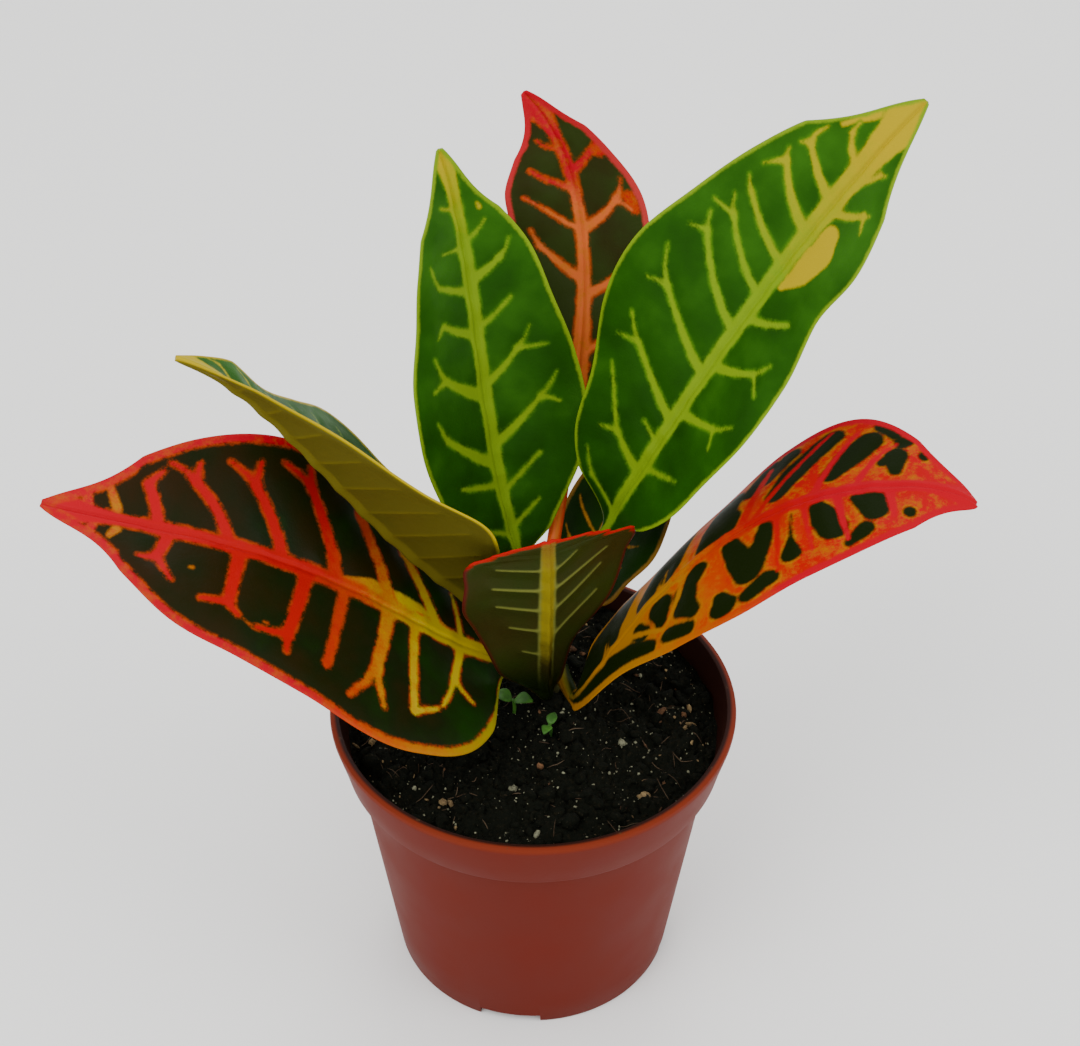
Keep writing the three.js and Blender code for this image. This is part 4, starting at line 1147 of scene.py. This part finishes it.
def build_stem(sizes):
    """The short woody stem with its leaf scars and the closed bud on top."""
    share = np.linspace(0.0, 1.0, STEM_RINGS)
    knots = np.linspace(0.0, 1.0, len(STEM_AXIS))
    axis = np.stack([np.interp(share, knots, line) for line in zip(*STEM_AXIS)], axis=1)
    scars = sum(hump(axis[:, 2] - level, SCAR_REACH) for level in SCAR_LEVELS)
    radius = track(STEM_RADII, share) + SCAR_HEIGHT * scars
    furrow = np.sin(FURROW_COUNT * around(STEM_STEPS) + 3.0 * share[:, None])
    furrow = 1.0 + FURROW_DEPTH * furrow * smooth_step(0.9, 0.5, share)[:, None]
    bark = speckled_material("young bark", sizes.stem, sizes.stem_shade, 1.2, 0.6)
    stem = mesh_object("stem_and_bud", *upright_tube(axis, radius[:, None] * furrow, STEM_STEPS), bark)
    face_outwards(stem)
    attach(stem, "root")
    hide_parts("stem")


# The two seedlings, in mm, with a leaf as its length and width

SEEDLINGS = {
    "seedling_left": dict(foot=(-4.5, 1.5), height=4.6, leaf=(4.6, 3.9), heading=165),
    "seedling_front": dict(foot=(3.6, -5.0), height=3.6, leaf=(3.6, 2.4), heading=250),
}
SEEDLING_STALK_RADIUS = 0.4
SEEDLING_BOW = 0.35
SEEDLING_LEAF_RISE = math.tan(math.radians(18))


def seedling_leaf(start, end, wide):
    """Points and faces of one small rounded seed leaf, a cupped pad with a thin rim."""
    rows, steps = 14, 20
    share = np.linspace(0.0, 1.0, rows)
    run = end - start
    length = np.linalg.norm(run)
    along = run / length
    beside = unit(np.cross([0.0, 0.0, 1.0], along))
    above = np.cross(along, beside)
    half = 0.5 * wide * np.maximum(np.sin(np.pi * np.clip(share, 0.02, 0.985) ** 0.85) ** 0.7, 0.14)
    angle = around(steps)
    across = half[:, None] * np.cos(angle)
    cup = 0.5 * (across / wide) ** 2 * wide - 0.5 * length * (share[:, None] - 0.4) ** 2
    thick = np.minimum(0.3, 0.8 * half)[:, None] * np.sin(angle)
    raised = above * (cup + thick)[..., None]
    points = start + share[:, None, None] * run + beside * across[..., None] + raised
    return points.reshape(-1, 3), tube_faces(rows, steps)


def build_seedlings(sizes):
    """Two weed seedlings, each a thread stem with a pair of seed leaves."""
    skin = speckled_material("seedling leaf", sizes.seedling, sizes.seedling_shade, 1.5, 0.5)
    rise = np.linspace(0.0, 1.0, 12)
    bow = SEEDLING_BOW * np.sin(np.pi * rise)
    for name, plan in SEEDLINGS.items():
        x, y = plan["foot"]
        ground = float(soil_level(x, y))
        foot = np.array([x, y, ground - 1.5])
        top = np.array([x, y, ground + plan["height"] - 0.3])
        stalk = foot + rise[:, None] * (top - foot) + np.stack([bow, bow, 0 * bow], axis=1)
        parts = [upright_tube(stalk, SEEDLING_STALK_RADIUS, 10)]
        for turn in (0, 180):
            heading = math.radians(plan["heading"] + turn)
            ahead = np.array([math.cos(heading), math.sin(heading), SEEDLING_LEAF_RISE])
            tip = top + unit(ahead) * plan["leaf"][0]
            parts.append(seedling_leaf(top + 0.2 * ahead, tip, plan["leaf"][1]))
        plant = mesh_object(name + "_plant", *joined(parts), skin)
        face_outwards(plant)
        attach(plant, "root")
        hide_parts(name)


# The stage, in metres. A lamp is its name, place, width and share of the key power.

FLOOR_HALF_MM = 1500.0
LAMPS = (
    ("key", (-0.45, -0.55, 0.95), 0.7, 1.0),
    ("fill", (0.75, -0.35, 0.6), 0.6, 0.45),
    ("back", (0.1, 0.8, 0.8), 0.6, 0.4),
)
LAMP_AIM = (0.0, 0.0, 0.1)
LENS_MM = 64.5
SENSOR_MM = 36.0
LENS_SHIFT = 0.0064
CAMERA_PLACE = (0.0, -0.3132, 0.3681)
CAMERA_TILT = 51.8


def build_stage(stage):
    """Pale floor, soft lights and the camera at the photograph's angle."""
    material, tree, shader = new_material("seamless paper")
    feed(tree, shader, {"Base Color": tuple(stage.floor), "Roughness": 0.9})
    far = FLOOR_HALF_MM
    floor = mesh_object("floor", [(-far, -far, 0), (far, -far, 0), (far, far, 0), (-far, far, 0)],
                        [[0, 1, 2, 3]], material)

    world = bpy.data.worlds.new("white room")
    bpy.context.scene.world = world
    world.use_nodes = True
    background = world.node_tree.nodes["Background"]
    background.inputs["Color"].default_value = (1.0, 1.0, 1.0, 1.0)
    background.inputs["Strength"].default_value = stage.sky

    for name, place, size, share in LAMPS:
        lamp = bpy.data.lights.new(name, "AREA")
        lamp.shape = "DISK"
        lamp.size = size
        lamp.energy = stage.key_power * share
        holder = bpy.data.objects.new(name, lamp)
        holder.location = place
        aim = Vector(LAMP_AIM) - Vector(place)
        holder.rotation_euler = aim.to_track_quat("-Z", "Y").to_euler()
        bpy.context.scene.collection.objects.link(holder)

    lens = bpy.data.cameras.new("portrait lens")
    lens.lens = LENS_MM
    lens.sensor_width = SENSOR_MM
    lens.sensor_fit = "HORIZONTAL"
    lens.shift_x = LENS_SHIFT
    lens.clip_start = 0.01
    camera = bpy.data.objects.new("camera", lens)
    camera.location = CAMERA_PLACE
    camera.rotation_euler = (math.radians(CAMERA_TILT), 0.0, 0.0)
    bpy.context.scene.collection.objects.link(camera)
    bpy.context.scene.camera = camera


# Operators, panel and registration

class CROTON_OT_leaves(bpy.types.Operator):
    """Grows the eight leaves on their stalks"""

    bl_idname = "croton.leaves"
    bl_label = "Leaves"

    def execute(self, context):
        scene = context.scene
        for name, leaf in LEAVES.items():
            skin = leaf_skin(leaf["slot"].replace("_", " "), leaf["skin"], scene.croton_pigments)
            grow_leaf(name, leaf, scene.croton_leaves, skin)
        return {"FINISHED"}


class CROTON_OT_pot(bpy.types.Operator):
    """Moulds the nursery pot"""

    bl_idname = "croton.pot"
    bl_label = "Pot"

    def execute(self, context):
        build_pot(context.scene.croton_pot)
        return {"FINISHED"}


class CROTON_OT_soil(bpy.types.Operator):
    """Fills the pot with soil"""

    bl_idname = "croton.soil"
    bl_label = "Soil"

    def execute(self, context):
        build_soil(context.scene.croton_pot)
        return {"FINISHED"}


class CROTON_OT_stem(bpy.types.Operator):
    """Raises the stem and its bud"""

    bl_idname = "croton.stem"
    bl_label = "Stem"

    def execute(self, context):
        build_stem(context.scene.croton_pot)
        return {"FINISHED"}


class CROTON_OT_seedlings(bpy.types.Operator):
    """Sows the two small seedlings"""

    bl_idname = "croton.seedlings"
    bl_label = "Seedlings"

    def execute(self, context):
        build_seedlings(context.scene.croton_pot)
        return {"FINISHED"}


class CROTON_OT_stage(bpy.types.Operator):
    """Sets the floor, lights and camera"""

    bl_idname = "croton.stage"
    bl_label = "Stage"

    def execute(self, context):
        build_stage(context.scene.croton_stage)
        return {"FINISHED"}


class CROTON_PT_panel(bpy.types.Panel):
    """Buttons and swatches for the croton"""

    bl_idname = "CROTON_PT_panel"
    bl_label = "Potted croton"
    bl_space_type = "VIEW_3D"
    bl_region_type = "UI"
    bl_category = "Croton"

    def draw(self, context):
        layout = self.layout
        for group in (context.scene.croton_leaves, context.scene.croton_pigments, context.scene.croton_pot,
                      context.scene.croton_stage):
            for label in type(group).__annotations__:
                layout.prop(group, label)
        for step in BUILD_STEPS:
            layout.operator(step.bl_idname)


GROUPS = {"croton_pigments": CrotonPigments, "croton_leaves": CrotonLeafSizes, "croton_pot": CrotonPotSizes,
          "croton_stage": CrotonStage}
BUILD_STEPS = (CROTON_OT_pot, CROTON_OT_soil, CROTON_OT_stem, CROTON_OT_leaves, CROTON_OT_seedlings,
               CROTON_OT_stage)


def register():
    for group in GROUPS.values():
        bpy.utils.register_class(group)
    for label, group in GROUPS.items():
        setattr(bpy.types.Scene, label, PointerProperty(type=group))
    for step in BUILD_STEPS + (CROTON_PT_panel,):
        bpy.utils.register_class(step)


def unregister():
    for step in reversed(BUILD_STEPS + (CROTON_PT_panel,)):
        bpy.utils.unregister_class(step)
    for label in GROUPS:
        delattr(bpy.types.Scene, label)
    for group in reversed(list(GROUPS.values())):
        bpy.utils.unregister_class(group)


def main():
    """Builds every piece in order."""
    register()
    bpy.ops.croton.pot()
    bpy.ops.croton.soil()
    bpy.ops.croton.stem()
    bpy.ops.croton.leaves()
    bpy.ops.croton.seedlings()
    bpy.ops.croton.stage()
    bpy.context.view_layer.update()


if __name__ == "__main__":
    main()
